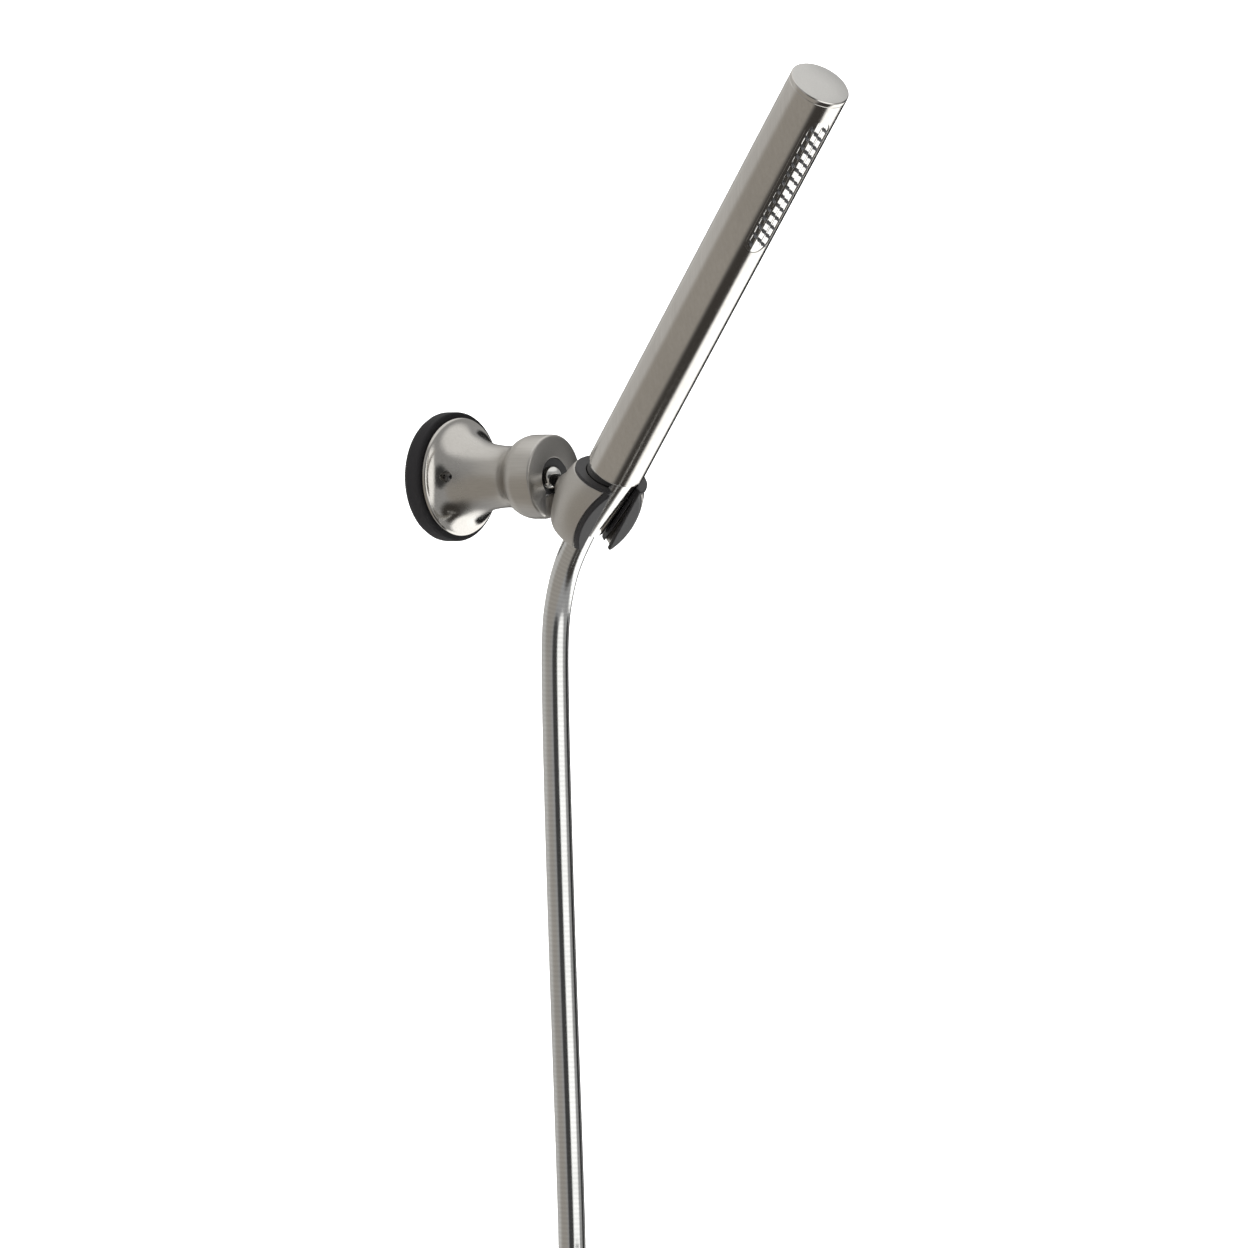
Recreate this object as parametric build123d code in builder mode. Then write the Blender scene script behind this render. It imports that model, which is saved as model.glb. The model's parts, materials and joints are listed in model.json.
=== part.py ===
"""Wall-held shower handset: wall bracket with a ball joint, fork holder, handset and hose.

Frame: millimetres, +X out of the wall, +Z up, origin at the middle of the back face on the wall.
"""
from build123d import *
import math
import os

os.makedirs("parts", exist_ok=True)

# ---------------------------------------------------------------- driving dimensions
gap = 0.3                    # clearance between pieces that move past each other
seat_gap = 0.05              # clearance of a piece that sits in or on another
run_gap = 0.08               # running clearance of the ball and of turned fits

base_r = 31.5                # black base ring
base_ring_depth = 7.5
gasket_r = 30.5
gasket_thick = 1.0
plate_r = 24.0               # fixing plate screwed to the wall
plate_thick = 3.0
hub_r = 9.0                  # hub of the fixing plate, inside the arm
hub_len = 20.0
wall_screw_r = 2.5
wall_screw_spacing = 30.0
hub_wall = 3.0
ring_edge = 1.2

rim_r = 28.7                 # polished rim of the arm's foot
rim_width = 2.6
waist_r = 14.9               # narrow middle of the arm
waist_x = 41.0
bulb_r = 20.3                # housing of the ball
bulb_x = 57.5
ball_x = 65.3                # distance of the ball's centre from the wall
bulb_nose = 2.7              # the housing's front face beyond the ball's centre
nose_edge = 1.2              # edge round the housing's flat front face
slot_half = 6.4              # slot under the mouth, where the stud swings down
foot_hollow_r = 22.0
foot_hollow_depth = 6.0
set_screw_r = 2.5
set_screw_x = 18.0
set_screw_len = 9.0
set_screw_key_r = 1.25
set_screw_key_depth = 2.5
set_screw_bite = 0.8         # the screw's tip sinks this far into the hub

ball_r = 5.8
seat_r = 9.2                 # round seat that holds the ball
seat_lip = 1.7               # how far the seat reaches past the ball's middle
seat_slot_half = 4.0
cup_len = 8.0                # pressing cup behind the seat
cup_web = 2.6                # cup behind the seat's rearmost point
cup_hole_r = 3.2
spring_thick = 1.1
spring_cone = 1.2
spring_outer_r = 8.8
spring_inner_r = 4.6
plug_len = 6.0
plug_key_r = 3.5
plug_web = 2.0

yaw_deg = 20.0               # the holder is swung this far to the side
lean_deg = 45.0              # the handset leans this far from upright
axis_reach = 60.2            # from the ball's centre to the handset's lower end, level
axis_rise = 4.9              # and upwards
holder_drop = 24.0           # holder's middle below the handset's lower end
holder_len = 35.0
holder_r = 20.2
holder_end_r = 16.8
holder_front = 12.5          # the fork's two tips reach this far in front of the axis
liner_wall = 2.2
liner_fit = 0.12
liner_lip_len = 1.6          # black lip on the holder's slanted top
liner_lip_r = 17.6
top_at = 16.3                # slanted top of the holder, above its middle
top_tilt = 12.4              # degrees that it falls towards the back
top_spare = 4.0
tip_len = 2.0                # black fork tips in front of the holder's cut face
fork_gap_half = 7.4          # half the way in for the hose, between the liner's edges

stud_neck_r = 3.3
stud_shank_r = 3.0
stud_collar_r = 5.5
stud_collar_at = 14.5
stud_collar_len = 2.0
stud_flare = 1.5
washer_thick = 1.0
washer_r = 6.0
boss_r = 7.6
boss_root_r = 10.5
boss_len = 11.0
stud_nut_at = 24.4
stud_nut_len = 3.2
stud_nut_r = 4.8

handset_r = 13.75
handset_len = 236.0
handset_wall = 1.5
cap_thick = 2.5
cap_spigot = 5.0
cap_spigot_wall = 3.4
cap_edge = 0.5
panel_top = 11.0             # spray panel's upper end below the tip
panel_len = 77.0
panel_half = 6.0
plate_inset = 0.35
slot_clear = 0.1
spray_wall = 1.2
mat_thick = 1.4
nozzle_rows = 3
nozzle_cols = 14
nozzle_pitch = 5.2
nozzle_row_angle = 14.0
nozzle_r = 0.85
nozzle_bore_r = 0.3
nozzle_hole_clear = 0.12
nozzle_stand = 1.5
nozzle_taper = 4.0
chamber_wall = 1.4
chamber_end = 4.0
mat_seat = 2.0               # width of the chamber's edge that backs the nozzle mat
pipe_r = 5.0
pipe_wall = 1.0
pipe_seat_len = 8.0
inlet_thread_r = 10.2        # outer radius of the half-inch pipe thread
inlet_thread_len = 9.0
inlet_bore_r = 5.5
inlet_plug_len = 14.0
seal_r = 0.9
seal_fit = 0.03
regulator_len = 4.0
regulator_holes = 5
regulator_hole_r = 0.8

nut_len = 38.0
nut_top_r = 13.0
nut_bottom_r = 9.0
nut_gap = 0.4                # between the handset's lower end and the nut
nut_edge = 0.6
filter_thick = 2.0
filter_r = 9.6

hose_r = 6.5
ferrule_flange_r = 9.6
ferrule_flange_len = 2.0
ferrule_bore_r = 4.0
coil_mean_r = 78.0
coil_turns = 2
coil_pitch = 13.6
coil_slack = 0.7             # the coil's outer shape is this much larger than its turns
coil_lead = 50.0             # straight hose beside the coil, above its middle
tail_len = 60.0
end_nut_af = 24.0            # hexagon of the nut on the hose's far end
end_nut_shoulder = 3.5
end_nut_relief_len = 4.2
end_thread_len = 9.5
end_nut_bore_r = 9.3         # half-inch pipe thread, inside
end_relief_r = 9.7
end_sleeve_len = 12.0
end_sleeve_r = 8.2
end_neck_r = 7.0
end_flange_r = 9.0
end_flange_len = 1.5
end_washer_thick = 1.8
tie_width = 12.0
tie_thick = 1.2
tie_clear = 0.5
tie_angles = (0, 90)

# ---------------------------------------------------------------- frames
yaw = math.radians(yaw_deg)
lean = math.radians(lean_deg)
ball = Vector(ball_x, 0, 0)
outward = Vector(math.cos(yaw), -math.sin(yaw), 0)      # level, from the ball to the holder
sideways = Vector(math.sin(yaw), math.cos(yaw), 0)
up = Vector(0, 0, 1)
along = outward * math.sin(lean) + up * math.cos(lean)  # handset's axis, towards its tip
front = outward * math.cos(lean) - up * math.sin(lean)  # side that sprays and opens
foot = ball + outward * axis_reach + up * axis_rise     # handset's lower end
holder_mid = foot - along * holder_drop
stud_dir = (holder_mid - ball).normalized()

wall_plane = Plane(origin=(0, 0, 0), x_dir=(0, 1, 0), z_dir=(1, 0, 0))
side_plane = Plane.XZ
handset_plane = Plane(origin=foot, x_dir=front, z_dir=along)
holder_plane = Plane(origin=holder_mid, x_dir=front, z_dir=along)
stud_plane = Plane(origin=ball, x_dir=sideways, z_dir=stud_dir)


def lathe_plane(frame):
    """Sketch plane through a frame's axis: its x is the radius, its y runs along the axis."""
    return Plane(origin=frame.origin, x_dir=frame.x_dir, z_dir=frame.x_dir.cross(frame.z_dir))


def axis_of(frame):
    """The turning axis of a frame."""
    return Axis(frame.origin, frame.z_dir)


def nut_radius(depth):
    """Outer radius of the cone nut at a depth below its top."""
    return nut_top_r + (nut_bottom_r - nut_top_r) * depth / nut_len


def finish(piece, name):
    """Label a finished piece and write it out."""
    piece.part.label = name
    export_step(piece.part, f"parts/{name}.step")


# ---------------------------------------------------------------- base on the wall
with BuildPart() as wall_gasket:
    with BuildSketch(wall_plane):
        Circle(gasket_r)
        with GridLocations(0, wall_screw_spacing, 1, 2):
            Circle(wall_screw_r, mode=Mode.SUBTRACT)
    extrude(amount=gasket_thick)
finish(wall_gasket, "wall_gasket")

ring_front = gasket_thick + base_ring_depth
plate_back = ring_front - plate_thick
with BuildPart() as base_ring:
    with BuildSketch(wall_plane.offset(gasket_thick)):
        Circle(base_r)
    extrude(amount=base_ring_depth)
    fillet(base_ring.edges().filter_by(GeomType.CIRCLE).sort_by(Axis.X)[-1], ring_edge)
    with BuildSketch(wall_plane.offset(plate_back)):
        Circle(plate_r + gap)
    extrude(amount=plate_thick + gap, mode=Mode.SUBTRACT)
    with BuildSketch(wall_plane.offset(gasket_thick)):
        Circle(hub_r)
        with GridLocations(0, wall_screw_spacing, 1, 2):
            Circle(wall_screw_r)
    extrude(amount=base_ring_depth, mode=Mode.SUBTRACT)
finish(base_ring, "base_ring")

with BuildPart() as fixing_plate:
    with BuildSketch(wall_plane.offset(plate_back)):
        Circle(plate_r)
    extrude(amount=plate_thick)
    with BuildSketch(wall_plane.offset(ring_front)):
        Circle(hub_r)
    extrude(amount=hub_len)
    with BuildSketch(wall_plane.offset(plate_back)):
        Circle(hub_r - hub_wall)
    extrude(amount=plate_thick + hub_len - hub_wall, mode=Mode.SUBTRACT)
    with BuildSketch(wall_plane.offset(plate_back)):
        with GridLocations(0, wall_screw_spacing, 1, 2):
            Circle(wall_screw_r)
    extrude(amount=plate_thick, mode=Mode.SUBTRACT)
    with BuildSketch(Plane.XZ.offset(hub_r)):
        with Locations((set_screw_x, 0)):
            Circle(set_screw_r + seat_gap)
    extrude(amount=-set_screw_bite - gap, mode=Mode.SUBTRACT)
finish(fixing_plate, "fixing_plate")

# ---------------------------------------------------------------- arm with the ball's housing
nose_x = ball_x + bulb_nose
bore_r = seat_r + gap
rim_front = ring_front + rim_width
with BuildPart() as bracket_arm:
    with BuildSketch(side_plane):
        with BuildLine():
            Polyline((ring_front, 0), (ring_front, rim_r), (rim_front, rim_r))
            Spline(
                (rim_front, rim_r),
                (rim_front + 3.6, rim_r - 5.4),
                (rim_front + 9.5, waist_r + 4.6),
                (rim_front + 18, waist_r + 1.3),
                (waist_x, waist_r),
                (waist_x + 6.2, waist_r + 1.3),
                (bulb_x - 5, bulb_r - 1.1),
                (bulb_x, bulb_r),
                tangents=[(0.25, -1), (1, 0)],
            )
            Polyline(
                (bulb_x, bulb_r),
                (nose_x - nose_edge, bulb_r),
                (nose_x, bulb_r - nose_edge),
                (nose_x, 0),
                (ring_front, 0),
            )
        make_face()
    revolve(axis=Axis.X)
    with BuildSketch(wall_plane.offset(ring_front)):
        Circle(bore_r)
    extrude(amount=ball_x - ring_front, mode=Mode.SUBTRACT)
    with BuildSketch(wall_plane.offset(ring_front)):
        Circle(foot_hollow_r)
    extrude(amount=foot_hollow_depth, mode=Mode.SUBTRACT, taper=12)
    with BuildSketch(side_plane):
        with Locations((ball_x, 0)):
            Circle(bore_r)
            Rectangle(2 * bore_r, 2 * bore_r, align=(Align.CENTER, Align.MAX), mode=Mode.SUBTRACT)
    revolve(axis=Axis.X, mode=Mode.SUBTRACT)
    with BuildSketch(wall_plane.offset(ball_x - stud_neck_r)):
        Rectangle(2 * slot_half, bulb_r + 1, align=(Align.CENTER, Align.MAX))
    extrude(amount=stud_neck_r + bulb_nose + 1, mode=Mode.SUBTRACT)
    with BuildSketch(Plane.XZ.offset(hub_r + seat_gap)):
        with Locations((set_screw_x, 0)):
            Circle(set_screw_r + seat_gap)
    extrude(amount=rim_r, mode=Mode.SUBTRACT)
finish(bracket_arm, "bracket_arm")

with BuildPart() as base_set_screw:
    with BuildSketch(Plane.XZ.offset(hub_r - set_screw_bite)):
        with Locations((set_screw_x, 0)):
            Circle(set_screw_r)
    extrude(amount=set_screw_len)
    with BuildSketch(Plane.XZ.offset(hub_r - set_screw_bite + set_screw_len)):
        with Locations((set_screw_x, 0)):
            RegularPolygon(set_screw_key_r, 6)
    extrude(amount=-set_screw_key_depth, mode=Mode.SUBTRACT)
finish(base_set_screw, "base_set_screw")

# ---------------------------------------------------------------- inside the housing
cup_back = ball_x - seat_r - cup_web
spring_back = cup_back - spring_thick - spring_cone
with BuildPart() as pressing_cup:
    with BuildSketch(wall_plane.offset(cup_back)):
        Circle(bore_r - seat_gap)
    extrude(amount=cup_len)
    with BuildSketch(wall_plane.offset(cup_back)):
        Circle(cup_hole_r)
    extrude(amount=cup_len, mode=Mode.SUBTRACT)
    with BuildSketch(side_plane):
        with Locations((ball_x, 0)):
            Circle(seat_r + gap)
            Rectangle(3 * seat_r, 3 * seat_r, align=(Align.CENTER, Align.MAX), mode=Mode.SUBTRACT)
    revolve(axis=Axis.X, mode=Mode.SUBTRACT)
finish(pressing_cup, "pressing_cup")

with BuildPart() as disc_spring:
    with BuildSketch(side_plane):
        with BuildLine():
            Polyline(
                (spring_back, spring_outer_r),
                (spring_back + spring_thick, spring_outer_r),
                (spring_back + spring_thick + spring_cone, spring_inner_r),
                (spring_back + spring_cone, spring_inner_r),
                (spring_back, spring_outer_r),
            )
        make_face()
    revolve(axis=Axis.X)
finish(disc_spring, "disc_spring")

with BuildPart() as tension_plug:
    with BuildSketch(wall_plane.offset(spring_back - plug_len)):
        Circle(bore_r - seat_gap)
    extrude(amount=plug_len)
    with BuildSketch(wall_plane.offset(spring_back - plug_len)):
        RegularPolygon(plug_key_r, 6)
    extrude(amount=plug_len - plug_web, mode=Mode.SUBTRACT)
finish(tension_plug, "tension_plug")

seat_plane = Plane(origin=ball, x_dir=sideways, z_dir=outward)
with BuildPart() as ball_seat:
    with BuildSketch(lathe_plane(seat_plane)):
        Circle(seat_r)
        Circle(ball_r + run_gap, mode=Mode.SUBTRACT)
        Rectangle(3 * seat_r, 3 * seat_r, align=(Align.MAX, Align.CENTER), mode=Mode.SUBTRACT)
        with Locations((0, seat_lip)):
            Rectangle(2 * seat_r, 2 * seat_r, align=(Align.MIN, Align.MIN), mode=Mode.SUBTRACT)
    revolve(axis=axis_of(seat_plane))
    with BuildSketch(seat_plane.offset(-stud_neck_r)):
        Rectangle(2 * seat_slot_half, 2 * seat_r, align=(Align.CENTER, Align.MAX))
    extrude(amount=2 * seat_r, mode=Mode.SUBTRACT)
finish(ball_seat, "ball_seat")

# ---------------------------------------------------------------- ball stud and its nut
collar_top = stud_collar_at + stud_collar_len
boss_at = collar_top + washer_thick
with BuildPart() as ball_stud:
    with BuildSketch(lathe_plane(stud_plane)):
        with BuildLine():
            CenterArc((0, 0), ball_r, -90, 180 - math.degrees(math.asin(stud_neck_r / ball_r)))
            neck_start = math.sqrt(ball_r**2 - stud_neck_r**2)
            Polyline(
                (stud_neck_r, neck_start),
                (stud_neck_r, stud_collar_at - stud_flare),
                (stud_collar_r, stud_collar_at),
                (stud_collar_r, collar_top),
                (stud_shank_r, collar_top),
                (stud_shank_r, stud_nut_at + stud_nut_len),
                (0, stud_nut_at + stud_nut_len),
                (0, -ball_r),
            )
        make_face()
    revolve(axis=axis_of(stud_plane))
finish(ball_stud, "ball_stud")

with BuildPart() as friction_washer:
    with BuildSketch(stud_plane.offset(collar_top + seat_gap)):
        Circle(washer_r)
        Circle(stud_shank_r + run_gap, mode=Mode.SUBTRACT)
    extrude(amount=washer_thick - 2 * seat_gap)
finish(friction_washer, "friction_washer")

with BuildPart() as stud_nut:
    with BuildSketch(stud_plane.offset(stud_nut_at)):
        RegularPolygon(stud_nut_r, 6)
        Circle(stud_shank_r + seat_gap, mode=Mode.SUBTRACT)
    extrude(amount=stud_nut_len)
finish(stud_nut, "stud_nut")

# ---------------------------------------------------------------- fork holder and its liner
half = holder_len / 2
high = half + top_spare
cut_len = holder_len + 2 * top_spare
pocket_bottom_r = nut_bottom_r + gap + liner_wall
pocket_rise = (nut_radius(holder_drop - half) + gap + liner_wall - pocket_bottom_r) / holder_len
pocket_top_r = pocket_bottom_r + pocket_rise * (high + half)
tilt = math.radians(top_tilt)
top_plane = Plane(origin=holder_mid + along * top_at, x_dir=sideways,
                  z_dir=along * math.cos(tilt) - front * math.sin(tilt))
belly = [(holder_end_r, -half), (holder_r, 0), (holder_end_r, half)]
barrel_rest = [(holder_end_r, half), (holder_end_r, high), (0, high), (0, -half), (holder_end_r, -half)]


def cone(low_r, high_r):
    """Half outline of a cone over the holder's whole height."""
    return [(0, -half), (low_r, -half), (high_r, high), (0, high), (0, -half)]


with BuildPart() as holder_body:
    with BuildSketch(lathe_plane(holder_plane)):
        with BuildLine():
            ThreePointArc(*belly)
            Polyline(*barrel_rest)
        make_face()
    revolve(axis=axis_of(holder_plane))
    with BuildSketch(lathe_plane(stud_plane)):
        with BuildLine():
            Polyline(
                (0, boss_at),
                (boss_r, boss_at),
                (boss_root_r, boss_at + boss_len),
                (0, boss_at + boss_len),
                (0, boss_at),
            )
        make_face()
    revolve(axis=axis_of(stud_plane))
    split(bisect_by=top_plane, keep=Keep.BOTTOM)
    with BuildSketch(lathe_plane(holder_plane)):
        with BuildLine():
            Polyline(*cone(pocket_bottom_r, pocket_top_r))
        make_face()
    revolve(axis=axis_of(holder_plane), mode=Mode.SUBTRACT)
    with BuildSketch(holder_plane.offset(-half)):
        Rectangle(2 * holder_r, 2 * (fork_gap_half + liner_wall), align=(Align.MIN, Align.CENTER))
        with Locations((holder_front, 0)):
            Rectangle(2 * holder_r, 3 * holder_r, align=(Align.MIN, Align.CENTER))
    extrude(amount=cut_len, mode=Mode.SUBTRACT)
    with BuildSketch(stud_plane.offset(boss_at)):
        Circle(stud_shank_r + run_gap)
    extrude(amount=holder_drop, mode=Mode.SUBTRACT)
    with BuildSketch(stud_plane.offset(stud_nut_at - seat_gap)):
        Circle(stud_nut_r + gap)
    extrude(amount=pocket_top_r, mode=Mode.SUBTRACT)
finish(holder_body, "holder_body")

tip_back = holder_front + liner_fit
with BuildPart() as holder_liner:
    with BuildSketch(lathe_plane(holder_plane)):
        with BuildLine():
            ThreePointArc(*belly)
            Polyline(*barrel_rest)
        make_face()
    revolve(axis=axis_of(holder_plane))
    with BuildSketch(holder_plane.offset(-half)):
        with Locations((tip_back, 0)):
            Rectangle(3 * holder_r, 3 * holder_r, align=(Align.MAX, Align.CENTER))
    extrude(amount=cut_len, mode=Mode.SUBTRACT)
    with BuildSketch(lathe_plane(holder_plane)):
        with BuildLine():
            Polyline(*cone(pocket_bottom_r - liner_fit, pocket_top_r - liner_fit))
        make_face()
    revolve(axis=axis_of(holder_plane))
    with BuildSketch(top_plane.offset(liner_fit)):
        Circle(liner_lip_r)
    extrude(amount=liner_lip_len)
    split(bisect_by=top_plane.offset(liner_fit + liner_lip_len), keep=Keep.BOTTOM)
    with BuildSketch(lathe_plane(holder_plane)):
        with BuildLine():
            Polyline(*cone(pocket_bottom_r - liner_wall, pocket_top_r - liner_wall))
        make_face()
    revolve(axis=axis_of(holder_plane), mode=Mode.SUBTRACT)
    with BuildSketch(holder_plane.offset(-half)):
        Rectangle(2 * holder_r, 2 * fork_gap_half, align=(Align.MIN, Align.CENTER))
        with Locations((holder_front + tip_len, 0)):
            Rectangle(2 * holder_r, 3 * holder_r, align=(Align.MIN, Align.CENTER))
    extrude(amount=cut_len, mode=Mode.SUBTRACT)
finish(holder_liner, "holder_liner")

# ---------------------------------------------------------------- handset shell
inner_r = handset_r - handset_wall
tip = handset_len - cap_thick
seal_ring_r = inner_r - seal_r - seal_fit
groove_r = seal_ring_r - seal_r - seal_fit
panel_mid = handset_len - panel_top - panel_len / 2
with BuildPart() as handset_tube:
    with BuildSketch(handset_plane):
        Circle(handset_r)
        Circle(inner_r, mode=Mode.SUBTRACT)
    extrude(amount=tip)
    with BuildSketch(Plane(origin=handset_plane.origin, x_dir=sideways, z_dir=front)):
        with Locations((0, panel_mid)):
            SlotOverall(panel_len, 2 * panel_half, rotation=90)
    extrude(amount=2 * handset_r, mode=Mode.SUBTRACT)
finish(handset_tube, "handset_tube")

with BuildPart() as end_cap:
    with BuildSketch(handset_plane.offset(tip)):
        Circle(handset_r)
    extrude(amount=cap_thick)
    chamfer(end_cap.edges().filter_by(GeomType.CIRCLE).sort_by(axis_of(handset_plane))[-1], cap_edge)
    with BuildSketch(handset_plane.offset(tip - cap_spigot)):
        Circle(inner_r - seat_gap)
        Circle(inner_r - cap_spigot_wall, mode=Mode.SUBTRACT)
    extrude(amount=cap_spigot)
    with BuildSketch(handset_plane.offset(tip - cap_spigot / 2 - seal_r - seal_fit)):
        Circle(inner_r)
        Circle(groove_r, mode=Mode.SUBTRACT)
    extrude(amount=2 * (seal_r + seal_fit), mode=Mode.SUBTRACT)
finish(end_cap, "end_cap")

with BuildPart() as cap_seal:
    with BuildSketch(lathe_plane(handset_plane)):
        with Locations((seal_ring_r, tip - cap_spigot / 2)):
            Circle(seal_r)
    revolve(axis=axis_of(handset_plane))
finish(cap_seal, "cap_seal")

# ---------------------------------------------------------------- spray panel
spray_r = handset_r - plate_inset
front_plane = Plane(origin=handset_plane.origin, x_dir=sideways, z_dir=front)
nozzle_span = (nozzle_cols - 1) * nozzle_pitch
nozzle_first = panel_mid - nozzle_span / 2
row_angles = [(i - (nozzle_rows - 1) / 2) * nozzle_row_angle for i in range(nozzle_rows)]


def nozzle_planes():
    """One frame on the handset's axis for each nozzle, looking out through it."""
    planes = []
    for angle in row_angles:
        turn = math.radians(angle)
        look = front * math.cos(turn) + sideways * math.sin(turn)
        stagger = nozzle_pitch / 2 if angle == 0 else 0
        count = nozzle_cols - 1 if angle == 0 else nozzle_cols
        for i in range(count):
            at = foot + along * (nozzle_first + stagger + i * nozzle_pitch)
            planes.append(Plane(origin=at, x_dir=along, z_dir=look))
    return planes


with BuildPart() as spray_plate:
    with BuildSketch(front_plane):
        with Locations((0, panel_mid)):
            SlotOverall(panel_len - 2 * slot_clear, 2 * (panel_half - slot_clear), rotation=90)
    extrude(amount=2 * handset_r)
    with BuildSketch(handset_plane):
        Circle(spray_r)
        Circle(spray_r - spray_wall, mode=Mode.SUBTRACT)
    extrude(amount=handset_len, mode=Mode.INTERSECT)
    with BuildSketch(*nozzle_planes()):
        Circle(nozzle_r + nozzle_hole_clear)
    extrude(amount=handset_r + 1, mode=Mode.SUBTRACT)
finish(spray_plate, "spray_plate")

mat_r = spray_r - spray_wall - seat_gap
with BuildPart() as nozzle_mat:
    with BuildSketch(front_plane):
        with Locations((0, panel_mid)):
            SlotOverall(panel_len - 4 * slot_clear, 2 * (panel_half - 2 * slot_clear), rotation=90)
    extrude(amount=2 * handset_r)
    with BuildSketch(handset_plane):
        Circle(mat_r)
        Circle(mat_r - mat_thick, mode=Mode.SUBTRACT)
    extrude(amount=handset_len, mode=Mode.INTERSECT)
    for nozzle in nozzle_planes():
        with BuildSketch(nozzle.offset(mat_r - mat_thick / 2)):
            Circle(nozzle_r)
        extrude(amount=spray_r + nozzle_stand - mat_r + mat_thick / 2, taper=nozzle_taper)
        with BuildSketch(nozzle.offset(mat_r - 2 * mat_thick)):
            Circle(nozzle_bore_r)
        extrude(amount=spray_r + nozzle_stand, mode=Mode.SUBTRACT)
finish(nozzle_mat, "nozzle_mat")

chamber_r = mat_r - mat_thick - seat_gap
chamber_low = panel_mid - panel_len / 2 - chamber_end
chamber_high = tip - cap_spigot - seat_gap
with BuildPart() as water_chamber:
    with BuildSketch(handset_plane.offset(chamber_low)):
        Circle(chamber_r)
    extrude(amount=chamber_high - chamber_low)
    for level in (chamber_low, chamber_high - chamber_wall):
        with BuildSketch(handset_plane.offset(level)):
            Circle(inner_r - seat_gap)
        extrude(amount=chamber_wall)
    with BuildSketch(handset_plane.offset(chamber_low + chamber_end - chamber_wall)):
        Circle(chamber_r - chamber_wall)
    extrude(amount=chamber_high - chamber_low - chamber_end, mode=Mode.SUBTRACT)
    with BuildSketch(handset_plane.offset(chamber_low)):
        Circle(pipe_r + seat_gap)
    extrude(amount=chamber_end, mode=Mode.SUBTRACT)
    with BuildSketch(front_plane):
        with Locations((0, panel_mid)):
            SlotOverall(panel_len - 2 * mat_seat, 2 * (panel_half - mat_seat), rotation=90)
    extrude(amount=2 * handset_r, mode=Mode.SUBTRACT)
finish(water_chamber, "water_chamber")

# ---------------------------------------------------------------- handset inlet
pipe_low = inlet_plug_len - pipe_seat_len
with BuildPart() as inner_pipe:
    with BuildSketch(handset_plane.offset(pipe_low + seat_gap)):
        Circle(pipe_r)
        Circle(pipe_r - pipe_wall, mode=Mode.SUBTRACT)
    extrude(amount=chamber_low + chamber_end - chamber_wall - pipe_low - seat_gap)
finish(inner_pipe, "inner_pipe")

with BuildPart() as inlet_connector:
    with BuildSketch(handset_plane.offset(-inlet_thread_len)):
        Circle(inlet_thread_r)
    extrude(amount=inlet_thread_len)
    with BuildSketch(handset_plane):
        Circle(inner_r - seat_gap)
    extrude(amount=inlet_plug_len)
    with BuildSketch(handset_plane.offset(inlet_plug_len / 2 - seal_r - seal_fit)):
        Circle(inner_r)
        Circle(groove_r, mode=Mode.SUBTRACT)
    extrude(amount=2 * (seal_r + seal_fit), mode=Mode.SUBTRACT)
    with BuildSketch(handset_plane.offset(-inlet_thread_len)):
        Circle(pipe_r - pipe_wall)
    extrude(amount=inlet_thread_len + inlet_plug_len, mode=Mode.SUBTRACT)
    with BuildSketch(handset_plane.offset(pipe_low)):
        Circle(pipe_r + seat_gap)
    extrude(amount=inlet_plug_len, mode=Mode.SUBTRACT)
    with BuildSketch(handset_plane.offset(-inlet_thread_len)):
        Circle(inlet_bore_r + seat_gap)
    extrude(amount=regulator_len + seat_gap, mode=Mode.SUBTRACT)
finish(inlet_connector, "inlet_connector")

with BuildPart() as inlet_seal:
    with BuildSketch(lathe_plane(handset_plane)):
        with Locations((seal_ring_r, inlet_plug_len / 2)):
            Circle(seal_r)
    revolve(axis=axis_of(handset_plane))
finish(inlet_seal, "inlet_seal")

with BuildPart() as flow_regulator:
    with BuildSketch(handset_plane.offset(-inlet_thread_len)):
        Circle(inlet_bore_r)
        with PolarLocations(inlet_bore_r / 2, regulator_holes):
            Circle(regulator_hole_r, mode=Mode.SUBTRACT)
    extrude(amount=regulator_len)
finish(flow_regulator, "flow_regulator")

# ---------------------------------------------------------------- cone nut on the hose
nut_plane = handset_plane.offset(-nut_gap - nut_len)
filter_top = -inlet_thread_len - seat_gap
flange_top = filter_top - filter_thick - gap
flange_low = flange_top - ferrule_flange_len
shoulder = flange_low - gap
nut_low = -nut_gap - nut_len
with BuildPart() as cone_nut:
    with BuildSketch(lathe_plane(handset_plane)):
        with BuildLine():
            Polyline(
                (hose_r + seat_gap * 2, nut_low),
                (nut_bottom_r - nut_edge, nut_low),
                (nut_radius(nut_len - nut_edge), nut_low + nut_edge),
                (nut_radius(nut_edge), -nut_gap - nut_edge),
                (nut_top_r - nut_edge, -nut_gap),
                (inlet_thread_r + run_gap, -nut_gap),
                (inlet_thread_r + run_gap, shoulder),
                (hose_r + seat_gap * 2, shoulder),
                (hose_r + seat_gap * 2, nut_low),
            )
        make_face()
    revolve(axis=axis_of(handset_plane))
finish(cone_nut, "cone_nut")

with BuildPart() as filter_washer:
    with BuildSketch(handset_plane.offset(filter_top - filter_thick)):
        Circle(filter_r)
        Circle(ferrule_bore_r, mode=Mode.SUBTRACT)
    extrude(amount=filter_thick)
finish(filter_washer, "filter_washer")

with BuildPart() as hose_ferrule:
    with BuildSketch(handset_plane.offset(flange_low)):
        Circle(ferrule_flange_r)
    extrude(amount=ferrule_flange_len)
    with BuildSketch(nut_plane):
        Circle(hose_r - 2 * run_gap)
    extrude(amount=flange_low - nut_low)
    with BuildSketch(nut_plane):
        Circle(ferrule_bore_r)
    extrude(amount=flange_top - nut_low, mode=Mode.SUBTRACT)
finish(hose_ferrule, "hose_ferrule")

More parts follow.
